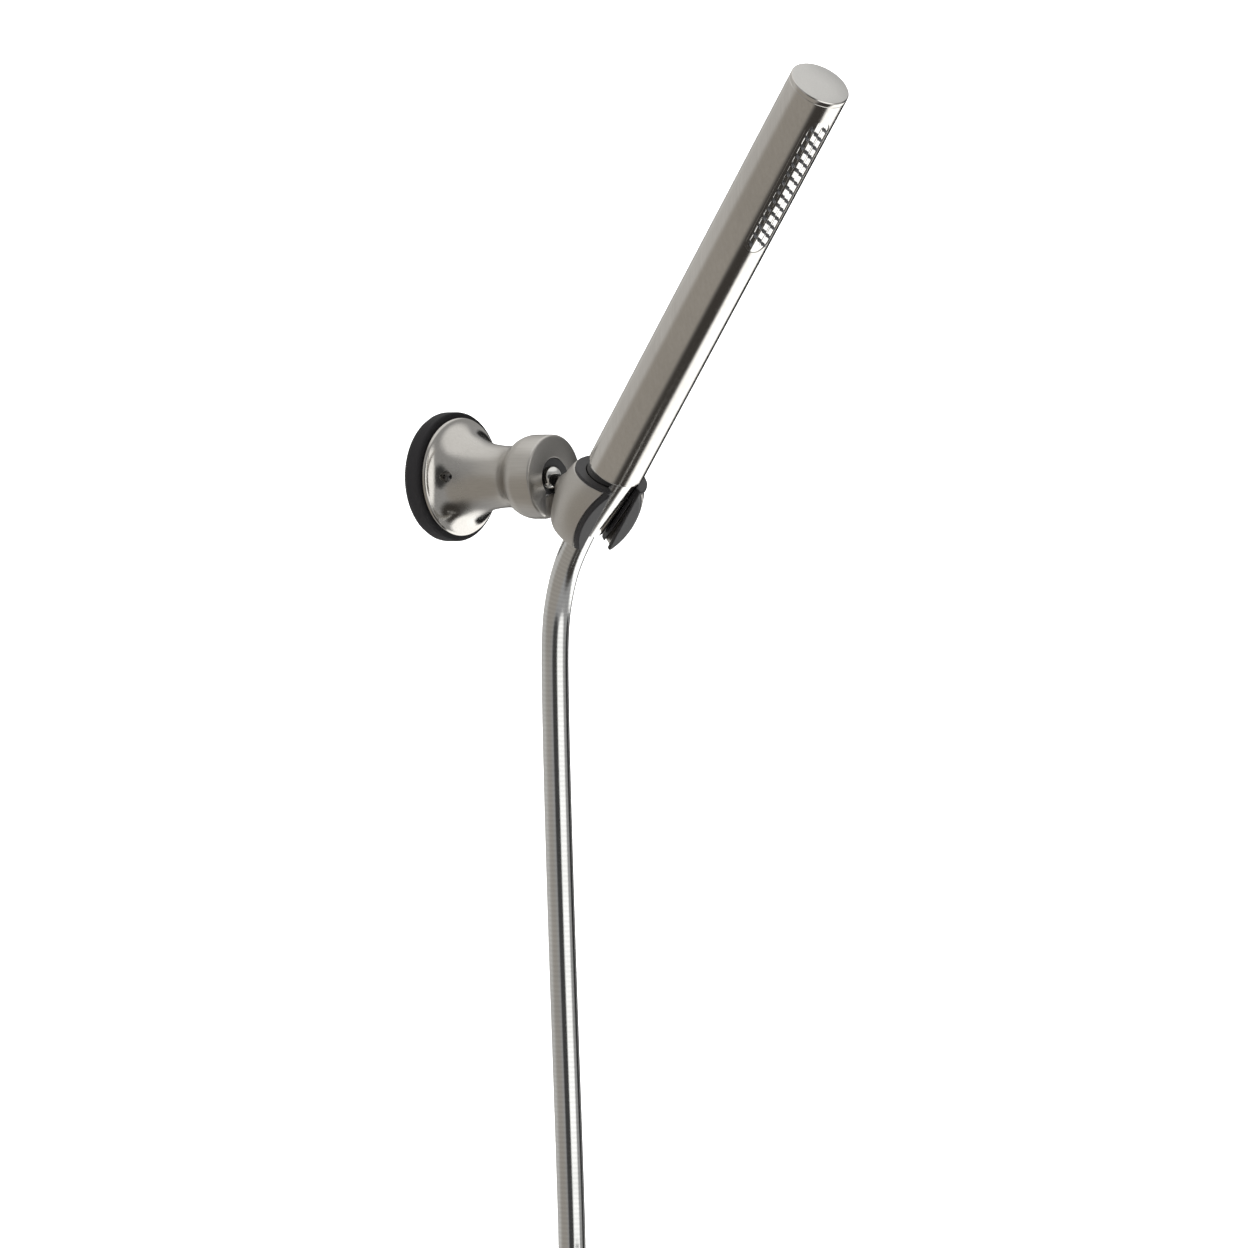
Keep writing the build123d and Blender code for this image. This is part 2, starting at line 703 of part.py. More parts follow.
# ---------------------------------------------------------------- hose
exit_reach = axis_reach + nut_low * math.sin(lean)
exit_rise = axis_rise + nut_low * math.cos(lean)
exit_run = 19.0
hose_points = [              # reach from the ball along the level line, and height
    (exit_reach, exit_rise),
    (exit_reach - exit_run * math.sin(lean), exit_rise - exit_run * math.cos(lean)),
    (9.85, -52.6),
    (4.4, -72.9),
    (5.1, -110.9),
    (8.0, -170.0),
    (12.3, -241.0),
    (17.6, -318.0),
    (20.8, -372.0),
    (20.8, -408.0),
]
coil_reach = hose_points[-1][0] + coil_mean_r
coil_rise = hose_points[-1][1] - coil_lead


def hose_at(reach, rise, side=0.0):
    """A point of the hose from its reach, its height and its place to the side."""
    return ball + outward * reach + up * rise + sideways * side


def corner_radius(before, corner, after):
    """Largest even bend at a corner that its two runs leave room for."""
    first = corner - before
    second = after - corner
    turn = math.radians(first.get_angle(second))
    return 0.45 * min(first.length, second.length) / math.tan(turn / 2)


route = [hose_at(reach, rise) for reach, rise in hose_points]
corners = zip(route, route[1:], route[2:])
radii = [corner_radius(*three) for three in corners]
print("hose bend radii, mm:", [round(r, 1) for r in radii])
with BuildPart() as hose:
    with BuildLine() as hose_line:
        FilletPolyline(*route, radius=radii)
    with BuildSketch(nut_plane):
        Circle(hose_r)
    sweep(path=hose_line.wires()[0])
tube_length = hose_line.wires()[0].length
print("hose tube, mm3:", round(hose.part.volume), "section x length:",
      round(math.pi * hose_r**2 * tube_length))
finish(hose, "hose")

coil_middle = hose_at(coil_reach, coil_rise)
coil_plane = Plane(origin=coil_middle, x_dir=outward, z_dir=-sideways)
coil_width = coil_turns * coil_pitch
tail_plane = Plane(origin=hose_at(coil_reach - coil_mean_r, coil_rise - tail_len, coil_width),
                   x_dir=outward, z_dir=up)
coil_length = coil_turns * math.hypot(2 * math.pi * coil_mean_r, coil_pitch)
print("hose length, mm:", round(tube_length + coil_lead + coil_length + tail_len))
with BuildPart() as hose_coil:
    with BuildSketch(coil_plane.offset(-coil_width - hose_r - coil_slack)):
        Circle(coil_mean_r + hose_r + coil_slack)
        Circle(coil_mean_r - hose_r - coil_slack, mode=Mode.SUBTRACT)
    extrude(amount=coil_width + 2 * (hose_r + coil_slack))
    with BuildSketch(Plane(origin=route[-1], x_dir=outward, z_dir=-up)):
        Circle(hose_r)
    extrude(amount=coil_lead)
    with BuildSketch(tail_plane):
        Circle(hose_r)
    extrude(amount=tail_len)
finish(hose_coil, "hose_coil")

tie_depth = 2 * (hose_r + coil_slack + tie_clear)
tie_span = coil_width + tie_depth
with BuildPart() as hose_ties:
    for angle in tie_angles:
        turn = math.radians(angle)
        spoke = outward * math.cos(turn) + up * math.sin(turn)
        middle = coil_middle + spoke * coil_mean_r + sideways * (coil_width / 2)
        tangent = spoke.cross(sideways)
        tie_plane = Plane(origin=middle, x_dir=spoke, z_dir=tangent)
        with BuildSketch(tie_plane.offset(-tie_width / 2)):
            Rectangle(tie_depth + 2 * tie_thick, tie_span + 2 * tie_thick)
            Rectangle(tie_depth, tie_span, mode=Mode.SUBTRACT)
        extrude(amount=tie_width)
finish(hose_ties, "hose_ties")

# ---------------------------------------------------------------- fitting on the far end
end_plane = Plane(origin=tail_plane.origin, x_dir=outward, z_dir=-up)
nut_top = end_sleeve_len + gap
relief_top = nut_top + end_nut_shoulder
flange_at = relief_top + gap
washer_at = flange_at + end_flange_len + seat_gap
thread_top = relief_top + end_nut_relief_len
end_nut_len = end_nut_shoulder + end_nut_relief_len + end_thread_len
with BuildPart() as end_ferrule:
    with BuildSketch(end_plane):
        Circle(end_sleeve_r)
    extrude(amount=end_sleeve_len)
    with BuildSketch(end_plane):
        Circle(end_neck_r)
    extrude(amount=flange_at)
    with BuildSketch(end_plane.offset(flange_at)):
        Circle(end_flange_r)
    extrude(amount=end_flange_len)
    with BuildSketch(end_plane):
        Circle(ferrule_bore_r)
    extrude(amount=flange_at + end_flange_len, mode=Mode.SUBTRACT)
finish(end_ferrule, "end_ferrule")

with BuildPart() as end_washer:
    with BuildSketch(end_plane.offset(washer_at)):
        Circle(end_nut_bore_r - seat_gap)
        Circle(ferrule_bore_r, mode=Mode.SUBTRACT)
    extrude(amount=end_washer_thick)
finish(end_washer, "end_washer")

with BuildPart() as end_nut:
    with BuildSketch(end_plane.offset(nut_top)):
        RegularPolygon(end_nut_af / 2, 6, major_radius=False)
    extrude(amount=end_nut_len)
    with BuildSketch(end_plane.offset(nut_top)):
        Circle(end_neck_r + gap)
    extrude(amount=end_nut_len, mode=Mode.SUBTRACT)
    with BuildSketch(end_plane.offset(relief_top)):
        Circle(end_relief_r)
    extrude(amount=end_nut_relief_len, mode=Mode.SUBTRACT)
    with BuildSketch(end_plane.offset(thread_top)):
        Circle(end_nut_bore_r)
    extrude(amount=end_thread_len, mode=Mode.SUBTRACT)
finish(end_nut, "end_nut")
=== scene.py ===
import json
import logging
import math
from dataclasses import dataclass, replace
from enum import Enum
from typing import Optional, Sequence, Union

import bmesh
import bpy
from mathutils import Matrix, Vector


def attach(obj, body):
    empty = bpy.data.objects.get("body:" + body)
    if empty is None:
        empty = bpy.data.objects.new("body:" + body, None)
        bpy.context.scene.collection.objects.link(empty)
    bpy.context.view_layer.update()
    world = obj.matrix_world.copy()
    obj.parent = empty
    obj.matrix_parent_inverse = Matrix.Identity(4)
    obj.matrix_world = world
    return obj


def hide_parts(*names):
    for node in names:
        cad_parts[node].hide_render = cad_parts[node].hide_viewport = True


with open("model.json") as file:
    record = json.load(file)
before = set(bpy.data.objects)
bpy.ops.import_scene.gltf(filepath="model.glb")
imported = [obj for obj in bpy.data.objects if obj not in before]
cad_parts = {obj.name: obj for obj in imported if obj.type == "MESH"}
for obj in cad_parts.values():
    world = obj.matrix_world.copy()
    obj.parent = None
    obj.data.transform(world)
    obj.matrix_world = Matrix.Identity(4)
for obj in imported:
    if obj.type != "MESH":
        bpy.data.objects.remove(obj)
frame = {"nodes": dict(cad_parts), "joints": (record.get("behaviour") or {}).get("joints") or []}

logging.basicConfig(level=logging.INFO, format="%(message)s")
log = logging.getLogger("shower")

MM = 0.001
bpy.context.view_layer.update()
SMOOTH_ANGLE = math.radians(32)
MERGED_ANGLE = math.radians(40)
SHEET_ANGLE = math.radians(60)
REACH = 40 * MM
DEEP = 30 * MM
Point = Sequence[float]


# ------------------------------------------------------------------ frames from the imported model
def joint(name: str) -> dict:
    """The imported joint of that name."""
    return next(j for j in frame["joints"] if j["name"] == name)


@dataclass(frozen=True)
class Seat:
    """A local frame: an origin and three directions."""

    origin: Vector
    x: Vector
    y: Vector
    z: Vector

    def at(self, x: float, y: float, z: float) -> Vector:
        """The point at local x, y and z, in metres."""
        return self.origin + self.x * x + self.y * y + self.z * z

    def matrix(self) -> Matrix:
        """The frame as a 4 by 4 matrix."""
        turn = Matrix((self.x, self.y, self.z)).transposed().to_4x4()
        return Matrix.Translation(self.origin) @ turn

    def up_by(self, distance: float) -> "Seat":
        """The same frame, moved along its own z."""
        return replace(self, origin=self.origin + self.z * distance)


BALL = Vector(joint("ball_swing")["pos_m"])
SIDE = Vector(joint("holder_tilt")["axis"]).normalized()
ALONG = Vector(joint("handset_turn")["axis"]).normalized()
FOOT = Vector(joint("handset_turn")["pos_m"])
STUD = Vector(joint("holder_spin")["axis"]).normalized()
END = Vector(joint("end_nut_turn")["pos_m"])
UP = Vector((0, 0, 1))
OUT = SIDE.cross(UP)
FRONT = SIDE.cross(ALONG)

ORIGIN_SEAT = Seat(Vector((0, 0, 0)), Vector((1, 0, 0)), Vector((0, 1, 0)), UP)
WALL_SEAT = Seat(Vector((0, 0, 0)), Vector((0, 1, 0)), UP, Vector((1, 0, 0)))
HANDSET_SEAT = Seat(FOOT, FRONT, SIDE, ALONG)
STUD_SEAT = Seat(BALL, STUD.cross(SIDE).normalized(), SIDE, STUD)
END_SEAT = Seat(END, OUT, OUT.cross(UP), -UP)


# ------------------------------------------------------------------ sizes shared by the pieces
@dataclass(frozen=True)
class Sizes:
    """Sizes that more than one piece takes, in metres."""

    handset_r: float = 13.75 * MM
    handset_len: float = 236.0 * MM
    handset_wall: float = 1.5 * MM
    cap_thick: float = 2.5 * MM
    panel_top: float = 11.0 * MM
    panel_len: float = 77.0 * MM
    panel_half: float = 6.0 * MM
    nut_gap: float = 0.4 * MM
    nut_len: float = 38.0 * MM
    nut_top_r: float = 13.0 * MM
    nut_bottom_r: float = 9.0 * MM
    holder_drop: float = 24.0 * MM
    holder_len: float = 35.0 * MM
    hose_r: float = 6.5 * MM
    hose_length: float = 1.485
    coil_mean_r: float = 78.0 * MM
    coil_pitch: float = 13.6 * MM
    coil_turns: int = 2
    coil_lead: float = 50.0 * MM
    tail_len: float = 60.0 * MM

    @property
    def panel_mid(self) -> float:
        """Height of the spray panel's middle above the handset's lower end."""
        return self.handset_len - self.panel_top - self.panel_len / 2


SIZE = Sizes()
PANEL_SEAT = Seat(HANDSET_SEAT.at(0, 0, SIZE.panel_mid), ALONG, -SIDE, FRONT)


# ------------------------------------------------------------------ mesh making
def polish(mesh: bpy.types.Mesh, angle: float = SMOOTH_ANGLE) -> bpy.types.Mesh:
    """Smooth shading, with hard edges where faces meet at more than an angle.

    Args:
        mesh: the mesh to shade.
        angle: the angle above which an edge stays hard, in radians.

    Returns:
        The same mesh.
    """
    mesh.polygons.foreach_set("use_smooth", [True] * len(mesh.polygons))
    mesh.set_sharp_from_angle(angle=angle)
    return mesh


def new_object(name: str, mesh: bpy.types.Mesh) -> bpy.types.Object:
    """A scene object at the origin that holds the mesh."""
    piece = bpy.data.objects.new(name, mesh)
    bpy.context.scene.collection.objects.link(piece)
    return piece


def bake(piece: bpy.types.Object, angle: float = SMOOTH_ANGLE) -> bpy.types.Object:
    """Turn what an object's modifiers make into its own plain mesh, and drop the modifiers."""
    graph = bpy.context.evaluated_depsgraph_get()
    mesh = bpy.data.meshes.new_from_object(piece.evaluated_get(graph), depsgraph=graph)
    piece.modifiers.clear()
    old = piece.data
    piece.data = polish(mesh, angle)
    if isinstance(old, bpy.types.Mesh):
        bpy.data.meshes.remove(old)
    return piece


def soften(points: Sequence[Point], radius: float, steps: int = 4) -> list[tuple[float, float]]:
    """Round the inner corners of an outline.

    Args:
        points: the outline's corners as (radius, height); its two ends stay as they are.
        radius: how far from each corner the rounding starts, in metres.
        steps: how many pieces each rounding has.

    Returns:
        The outline with its corners rounded.
    """
    flat = [Vector((p[0], p[1])) for p in points]
    out = [tuple(flat[0])]
    for before, corner, after in zip(flat, flat[1:], flat[2:]):
        first, second = before - corner, after - corner
        reach = min(radius, first.length * 0.45, second.length * 0.45)
        start = corner + first.normalized() * reach
        end = corner + second.normalized() * reach
        for i in range(steps + 1):
            t = i / steps
            out.append(tuple(start.lerp(corner, t).lerp(corner.lerp(end, t), t)))
    out.append(tuple(flat[-1]))
    return out


def curve_through(points: Sequence[Point], steps: int = 8) -> list[tuple[float, float]]:
    """A smooth outline through the points, as a Catmull-Rom curve."""
    flat = [Vector((p[0], p[1])) for p in points]
    ends = [flat[0] * 2 - flat[1], *flat, flat[-1] * 2 - flat[-2]]
    out = []
    for a, b, c, d in zip(ends, ends[1:], ends[2:], ends[3:]):
        for i in range(steps):
            t = i / steps
            out.append(tuple(
                0.5 * (2 * b + (c - a) * t + (2 * a - 5 * b + 4 * c - d) * t**2
                       + (3 * b - a - 3 * c + d) * t**3)
            ))
    out.append(tuple(flat[-1]))
    return out


def lathe(name: str, seat: Seat, outline: Sequence[Point], steps: int = 96,
          closed: bool = False) -> bpy.types.Object:
    """Turn an outline of (radius, height) about a frame's z.

    Args:
        name: the piece's name.
        seat: the frame whose z is the turning axis.
        outline: points of radius and height; a radius of 0 is a pole.
        steps: how many stations the turn has.
        closed: whether the last point joins the first, as on a ring.

    Returns:
        The turned piece.
    """
    work = bmesh.new()
    rings: list[list[bmesh.types.BMVert]] = []
    for radius, height in outline:
        if radius < 1e-7:
            rings.append([work.verts.new(seat.at(0, 0, height))])
            continue
        rings.append([
            work.verts.new(seat.at(radius * math.cos(a), radius * math.sin(a), height))
            for a in (2 * math.pi * i / steps for i in range(steps))
        ])
    pairs = list(zip(rings, rings[1:]))
    if closed:
        pairs.append((rings[-1], rings[0]))
    for low, high in pairs:
        for i in range(steps):
            j = (i + 1) % steps
            quad = [low[i % len(low)], low[j % len(low)], high[j % len(high)], high[i % len(high)]]
            corners = list(dict.fromkeys(quad))
            if len(corners) > 2:
                work.faces.new(corners)
    bmesh.ops.recalc_face_normals(work, faces=work.faces)
    mesh = bpy.data.meshes.new(name)
    work.to_mesh(mesh)
    work.free()
    return new_object(name, polish(mesh))


def prism(name: str, seat: Seat, outline: Sequence[Point], low: float,
          high: float) -> bpy.types.Object:
    """A solid with a flat outline of local (x, y), from one height to another along z."""
    work = bmesh.new()
    bottom = [work.verts.new(seat.at(x, y, low)) for x, y in outline]
    top = [work.verts.new(seat.at(x, y, high)) for x, y in outline]
    work.faces.new(bottom)
    work.faces.new(top)
    for i in range(len(outline)):
        j = (i + 1) % len(outline)
        work.faces.new([bottom[i], bottom[j], top[j], top[i]])
    bmesh.ops.recalc_face_normals(work, faces=work.faces)
    mesh = bpy.data.meshes.new(name)
    work.to_mesh(mesh)
    work.free()
    return new_object(name, mesh)


def slot_outline(half_length: float, half_width: float, steps: int = 24) -> list[Point]:
    """The outline of a slot with round ends, long in x."""
    straight = half_length - half_width
    right = [(straight + half_width * math.cos(a), half_width * math.sin(a))
             for a in (math.pi * (i / steps - 0.5) for i in range(steps + 1))]
    return right + [(-x, -y) for x, y in right]


def box_outline(x_low: float, x_high: float, half_width: float) -> list[Point]:
    """The outline of a rectangle, even about y."""
    return [(x_low, -half_width), (x_high, -half_width), (x_high, half_width), (x_low, half_width)]


class Join(Enum):
    """What a tool does to the piece that it meets."""

    CUT = "DIFFERENCE"
    ADD = "UNION"
    KEEP_COMMON = "INTERSECT"


def combine(piece: bpy.types.Object, tool: bpy.types.Object, how: Join) -> bpy.types.Object:
    """Cut, add or intersect one piece with a tool, which is used up."""
    step = piece.modifiers.new("combine", "BOOLEAN")
    step.operation = how.value
    step.solver = "EXACT"
    step.object = tool
    bake(piece)
    bpy.data.objects.remove(tool)
    return piece


def round_edges(piece: bpy.types.Object, width: float, segments: int = 3,
                angle: float = 35.0) -> bpy.types.Object:
    """Round off a piece's edges that are sharper than an angle in degrees."""
    step = piece.modifiers.new("edges", "BEVEL")
    step.width = width
    step.segments = segments
    step.limit_method = "ANGLE"
    step.angle_limit = math.radians(angle)
    step.use_clamp_overlap = True
    step.harden_normals = False
    return bake(piece)


def cast_skin(piece: bpy.types.Object, grain: float, passes: int) -> bpy.types.Object:
    """Give a piece the soft edges of a casting: an even remesh, then a little smoothing."""
    step = piece.modifiers.new("even", "REMESH")
    step.mode = "VOXEL"
    step.voxel_size = grain
    relax = piece.modifiers.new("relax", "SMOOTH")
    relax.factor = 0.5
    relax.iterations = passes
    return bake(piece, SHEET_ANGLE)


def smooth_copy(name: str, node: str, angle: float = 28.0) -> bpy.types.Object:
    """A merged and smoothly shaded copy of a CAD node, to stand for it."""
    work = bmesh.new()
    work.from_mesh(frame["nodes"][node].data)
    bmesh.ops.remove_doubles(work, verts=work.verts, dist=1e-6)
    mesh = bpy.data.meshes.new(name)
    work.to_mesh(mesh)
    work.free()
    return new_object(name, polish(mesh, math.radians(angle)))


# ------------------------------------------------------------------ shader maths
Value = Union[float, "Wire"]


class Wire:
    """A number that travels along a socket, with arithmetic written as on plain numbers."""

    def __init__(self, paint: "Paint", socket: bpy.types.NodeSocket) -> None:
        """Keep the socket and the material that it belongs to."""
        self.paint = paint
        self.socket = socket

    def _math(self, operation: str, first: Value, second: Value) -> "Wire":
        """A Math node on two values."""
        return self.paint.node("ShaderNodeMath", {"operation": operation}, {0: first, 1: second})

    def __add__(self, other: Value) -> "Wire":
        """self + other."""
        return self._math("ADD", self, other)

    def __radd__(self, other: float) -> "Wire":
        """other + self."""
        return self._math("ADD", other, self)

    def __sub__(self, other: Value) -> "Wire":
        """self - other."""
        return self._math("SUBTRACT", self, other)

    def __rsub__(self, other: float) -> "Wire":
        """other - self."""
        return self._math("SUBTRACT", other, self)

    def __mul__(self, other: Value) -> "Wire":
        """self * other."""
        return self._math("MULTIPLY", self, other)

    def __rmul__(self, other: float) -> "Wire":
        """other * self."""
        return self._math("MULTIPLY", other, self)


class Paint:
    """A material under construction: its tree, its main shader and one method for any node."""

    def __init__(self, name: str) -> None:
        """Start a material with a main shader in it."""
        self.material = bpy.data.materials.new(name)
        self.material.use_nodes = True
        self.tree = self.material.node_tree
        self.shader = self.tree.nodes["Principled BSDF"]

    def node(self, kind: str, settings: Optional[dict] = None, inputs: Optional[dict] = None,
             output: Union[int, str] = 0) -> Wire:
        """Add a node.

        Args:
            kind: the node's type.
            settings: its own settings, set before its sockets.
            inputs: values or wires for its sockets, by name or number.
            output: which output comes back.

        Returns:
            The output as a wire.
        """
        made = self.tree.nodes.new(kind)
        for key, value in (settings or {}).items():
            setattr(made, key, value)
        for key, value in (inputs or {}).items():
            self.feed(made.inputs[key], value)
        return Wire(self, made.outputs[output])

    def feed(self, socket: bpy.types.NodeSocket, value: object) -> None:
        """Link a wire to a socket, or set the socket to a plain value."""
        if isinstance(value, Wire):
            self.tree.links.new(value.socket, socket)
        else:
            socket.default_value = value

    def spread(self, value: Wire, low: float, high: float, to_low: float, to_high: float) -> Wire:
        """Map a value from one range onto another, held within it."""
        return self.node("ShaderNodeMapRange", {"clamp": True}, {
            "Value": value, "From Min": low, "From Max": high, "To Min": to_low, "To Max": to_high})

    def blend(self, amount: Value, first: Sequence[float], second: Sequence[float]) -> Wire:
        """Mix two colours."""
        return self.node("ShaderNodeMix", {"data_type": "RGBA"},
                         {0: amount, 6: (*first, 1), 7: (*second, 1)}, output=2)


Colour = tuple[float, float, float]


@dataclass(frozen=True)
class Finish:
    """A finish: its colours, its gloss and the grain and marks on its surface."""

    name: str
    colour: Colour
    shade: Colour
    metallic: float = 0.0
    rough: float = 0.3
    rough_spread: float = 0.08
    coat: float = 0.0
    grain: float = 900.0
    grain_depth: float = 0.05
    stretch: Vector = Vector((1, 1, 1))
    marks: float = 14.0
    specular: float = 0.5
    bright_to: float = 0.0

    def build(self, turn: tuple[float, float, float] = (0, 0, 0)) -> bpy.types.Material:
        """Make the material.

        Args:
            turn: how its grain is turned, in radians about x, y and z.

        Returns:
            The material.
        """
        paint = Paint(self.name)
        place = paint.node("ShaderNodeTexCoord", output="Object")
        turned = paint.node("ShaderNodeMapping", {"vector_type": "TEXTURE"},
                            {"Vector": place, "Rotation": turn})
        stretched = paint.node("ShaderNodeMapping", {},
                               {"Vector": turned, "Scale": tuple(self.stretch)})
        grain = paint.node("ShaderNodeTexNoise", {}, {
            "Vector": stretched, "Scale": self.grain, "Detail": 3.0, "Roughness": 0.6})
        marks = paint.node("ShaderNodeTexNoise", {}, {
            "Vector": place, "Scale": self.marks, "Detail": 5.0, "Roughness": 0.62})
        wear = paint.spread(marks, 0.35, 0.7, 0.0, 1.0)
        fine = paint.spread(grain, 0.3, 0.7, 0.0, 1.0)
        paint.feed(paint.shader.inputs["Base Color"],
                   paint.blend(wear * 0.6 + fine * 0.4, self.colour, self.shade))
        rough = self.rough + wear * self.rough_spread + fine * (self.rough_spread * 0.6)
        if self.bright_to:
            parts = paint.tree.nodes.new("ShaderNodeSeparateXYZ")
            paint.feed(parts.inputs[0], place)
            out = Wire(paint, parts.outputs[0])
            rough = rough * paint.spread(out, self.bright_to * 0.6, self.bright_to, 0.35, 1.0)
        paint.feed(paint.shader.inputs["Roughness"], rough)
        bump = paint.node("ShaderNodeBump", {}, {
            "Strength": self.grain_depth, "Distance": 0.0002, "Height": grain})
        paint.feed(paint.shader.inputs["Normal"], bump)
        paint.shader.inputs["Metallic"].default_value = self.metallic
        paint.shader.inputs["Coat Weight"].default_value = self.coat
        paint.shader.inputs["Specular IOR Level"].default_value = self.specular
        return paint.material


LONG_GRAIN = Vector((1.0, 1.0, 0.02))
ROUND_GRAIN = Vector((0.04, 1.0, 1.0))
SATIN = Finish("satin_nickel", (0.60, 0.58, 0.55), (0.49, 0.47, 0.44), 1.0, 0.24, 0.10,
               grain=1400, grain_depth=0.10, stretch=ROUND_GRAIN, bright_to=26 * MM)
SATIN_CAST = Finish("satin_nickel_cast", (0.60, 0.58, 0.55), (0.50, 0.48, 0.45), 1.0, 0.27, 0.10,
                    grain=1500, grain_depth=0.08)
TUBE_NICKEL = Finish("polished_nickel_tube", (0.66, 0.64, 0.61), (0.57, 0.55, 0.52), 1.0, 0.11,
                     0.07, grain=700, grain_depth=0.03, stretch=LONG_GRAIN)
POLISHED = Finish("polished_nickel", (0.72, 0.71, 0.69), (0.62, 0.61, 0.59), 1.0, 0.08, 0.06,
                  grain=900, grain_depth=0.02)
CAP_NICKEL = Finish("cap_nickel", (0.62, 0.61, 0.59), (0.54, 0.53, 0.51), 1.0, 0.30, 0.10,
                    grain=1500, grain_depth=0.06)
BLACK = Finish("black_plastic", (0.008, 0.008, 0.009), (0.016, 0.015, 0.016), 0.0, 0.48, 0.14,
               grain=2600, grain_depth=0.22, specular=0.18)
LINER_BLACK = Finish("liner_black", (0.008, 0.008, 0.009), (0.016, 0.015, 0.016), 0.0, 0.24, 0.12,
                     grain=2400, grain_depth=0.10, specular=0.4)
RUBBER = Finish("black_rubber", (0.014, 0.014, 0.014), (0.03, 0.03, 0.03), 0.0, 0.62, 0.16,
                grain=2200, grain_depth=0.3, specular=0.3)
SILICONE = Finish("grey_silicone", (0.07, 0.07, 0.075), (0.12, 0.12, 0.125), 0.0, 0.45, 0.14,
                  grain=2000, grain_depth=0.18)
BRASS = Finish("turned_brass", (0.80, 0.61, 0.30), (0.66, 0.48, 0.22), 1.0, 0.25, 0.12,
               grain=1100, grain_depth=0.10)
STEEL = Finish("plain_steel", (0.56, 0.56, 0.57), (0.44, 0.44, 0.45), 1.0, 0.32, 0.12,
               grain=1300, grain_depth=0.12)
WHITE = Finish("white_acetal", (0.80, 0.80, 0.78), (0.72, 0.72, 0.70), 0.0, 0.38, 0.10,
               grain=1800, grain_depth=0.12)


def hose_finish() -> bpy.types.Material:
    """Smooth silver jacket: a faint wound layer under a glossy skin, read from the hose's own UV."""
    paint = Paint("hose_silver")
    place = paint.node("ShaderNodeUVMap", {"uv_map": "along"})
    parts = paint.tree.nodes.new("ShaderNodeSeparateXYZ")
    paint.feed(parts.inputs[0], place)
    length, round_ = Wire(paint, parts.outputs[0]), Wire(paint, parts.outputs[1])
    turns = length * HoseLine.windings_per_metre + round_
    wave = paint.node("ShaderNodeMath", {"operation": "SINE"}, {0: turns * (2 * math.pi)})
    wound = wave * 0.5 + 0.5
    marks = paint.node("ShaderNodeTexNoise", {}, {
        "Vector": paint.node("ShaderNodeTexCoord", output="Object"),
        "Scale": 22.0, "Detail": 4.0, "Roughness": 0.6})
    wear = paint.spread(marks, 0.35, 0.7, 0.0, 1.0)
    paint.feed(paint.shader.inputs["Base Color"],
               paint.blend(wear * 0.5 + wound * 0.3, (0.70, 0.70, 0.69), (0.55, 0.55, 0.54)))
    paint.feed(paint.shader.inputs["Roughness"], 0.13 + wear * 0.07)
    bump = paint.node("ShaderNodeBump", {}, {
        "Strength": 0.05, "Distance": 0.0001, "Height": wound})
    paint.feed(paint.shader.inputs["Normal"], bump)
    paint.shader.inputs["Metallic"].default_value = 1.0
    return paint.material


def dress(piece: bpy.types.Object, material: bpy.types.Material, body: str,
          replaces: Sequence[str] = ()) -> bpy.types.Object:
    """Give a piece its material and its body, and hide the CAD nodes that it stands for."""
    piece.data.materials.clear()
    piece.data.materials.append(material)
    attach(piece, body)
    if replaces:
        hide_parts(*replaces)
    log.info("piece %s rides on %s", piece.name, body)
    return piece


def paint_node(node: str, material: bpy.types.Material) -> None:
    """Give a CAD node that stays a better material."""
    mesh = frame["nodes"][node].data
    if not mesh.materials:
        mesh.materials.append(material)
    for i in range(len(mesh.materials)):
        mesh.materials[i] = material


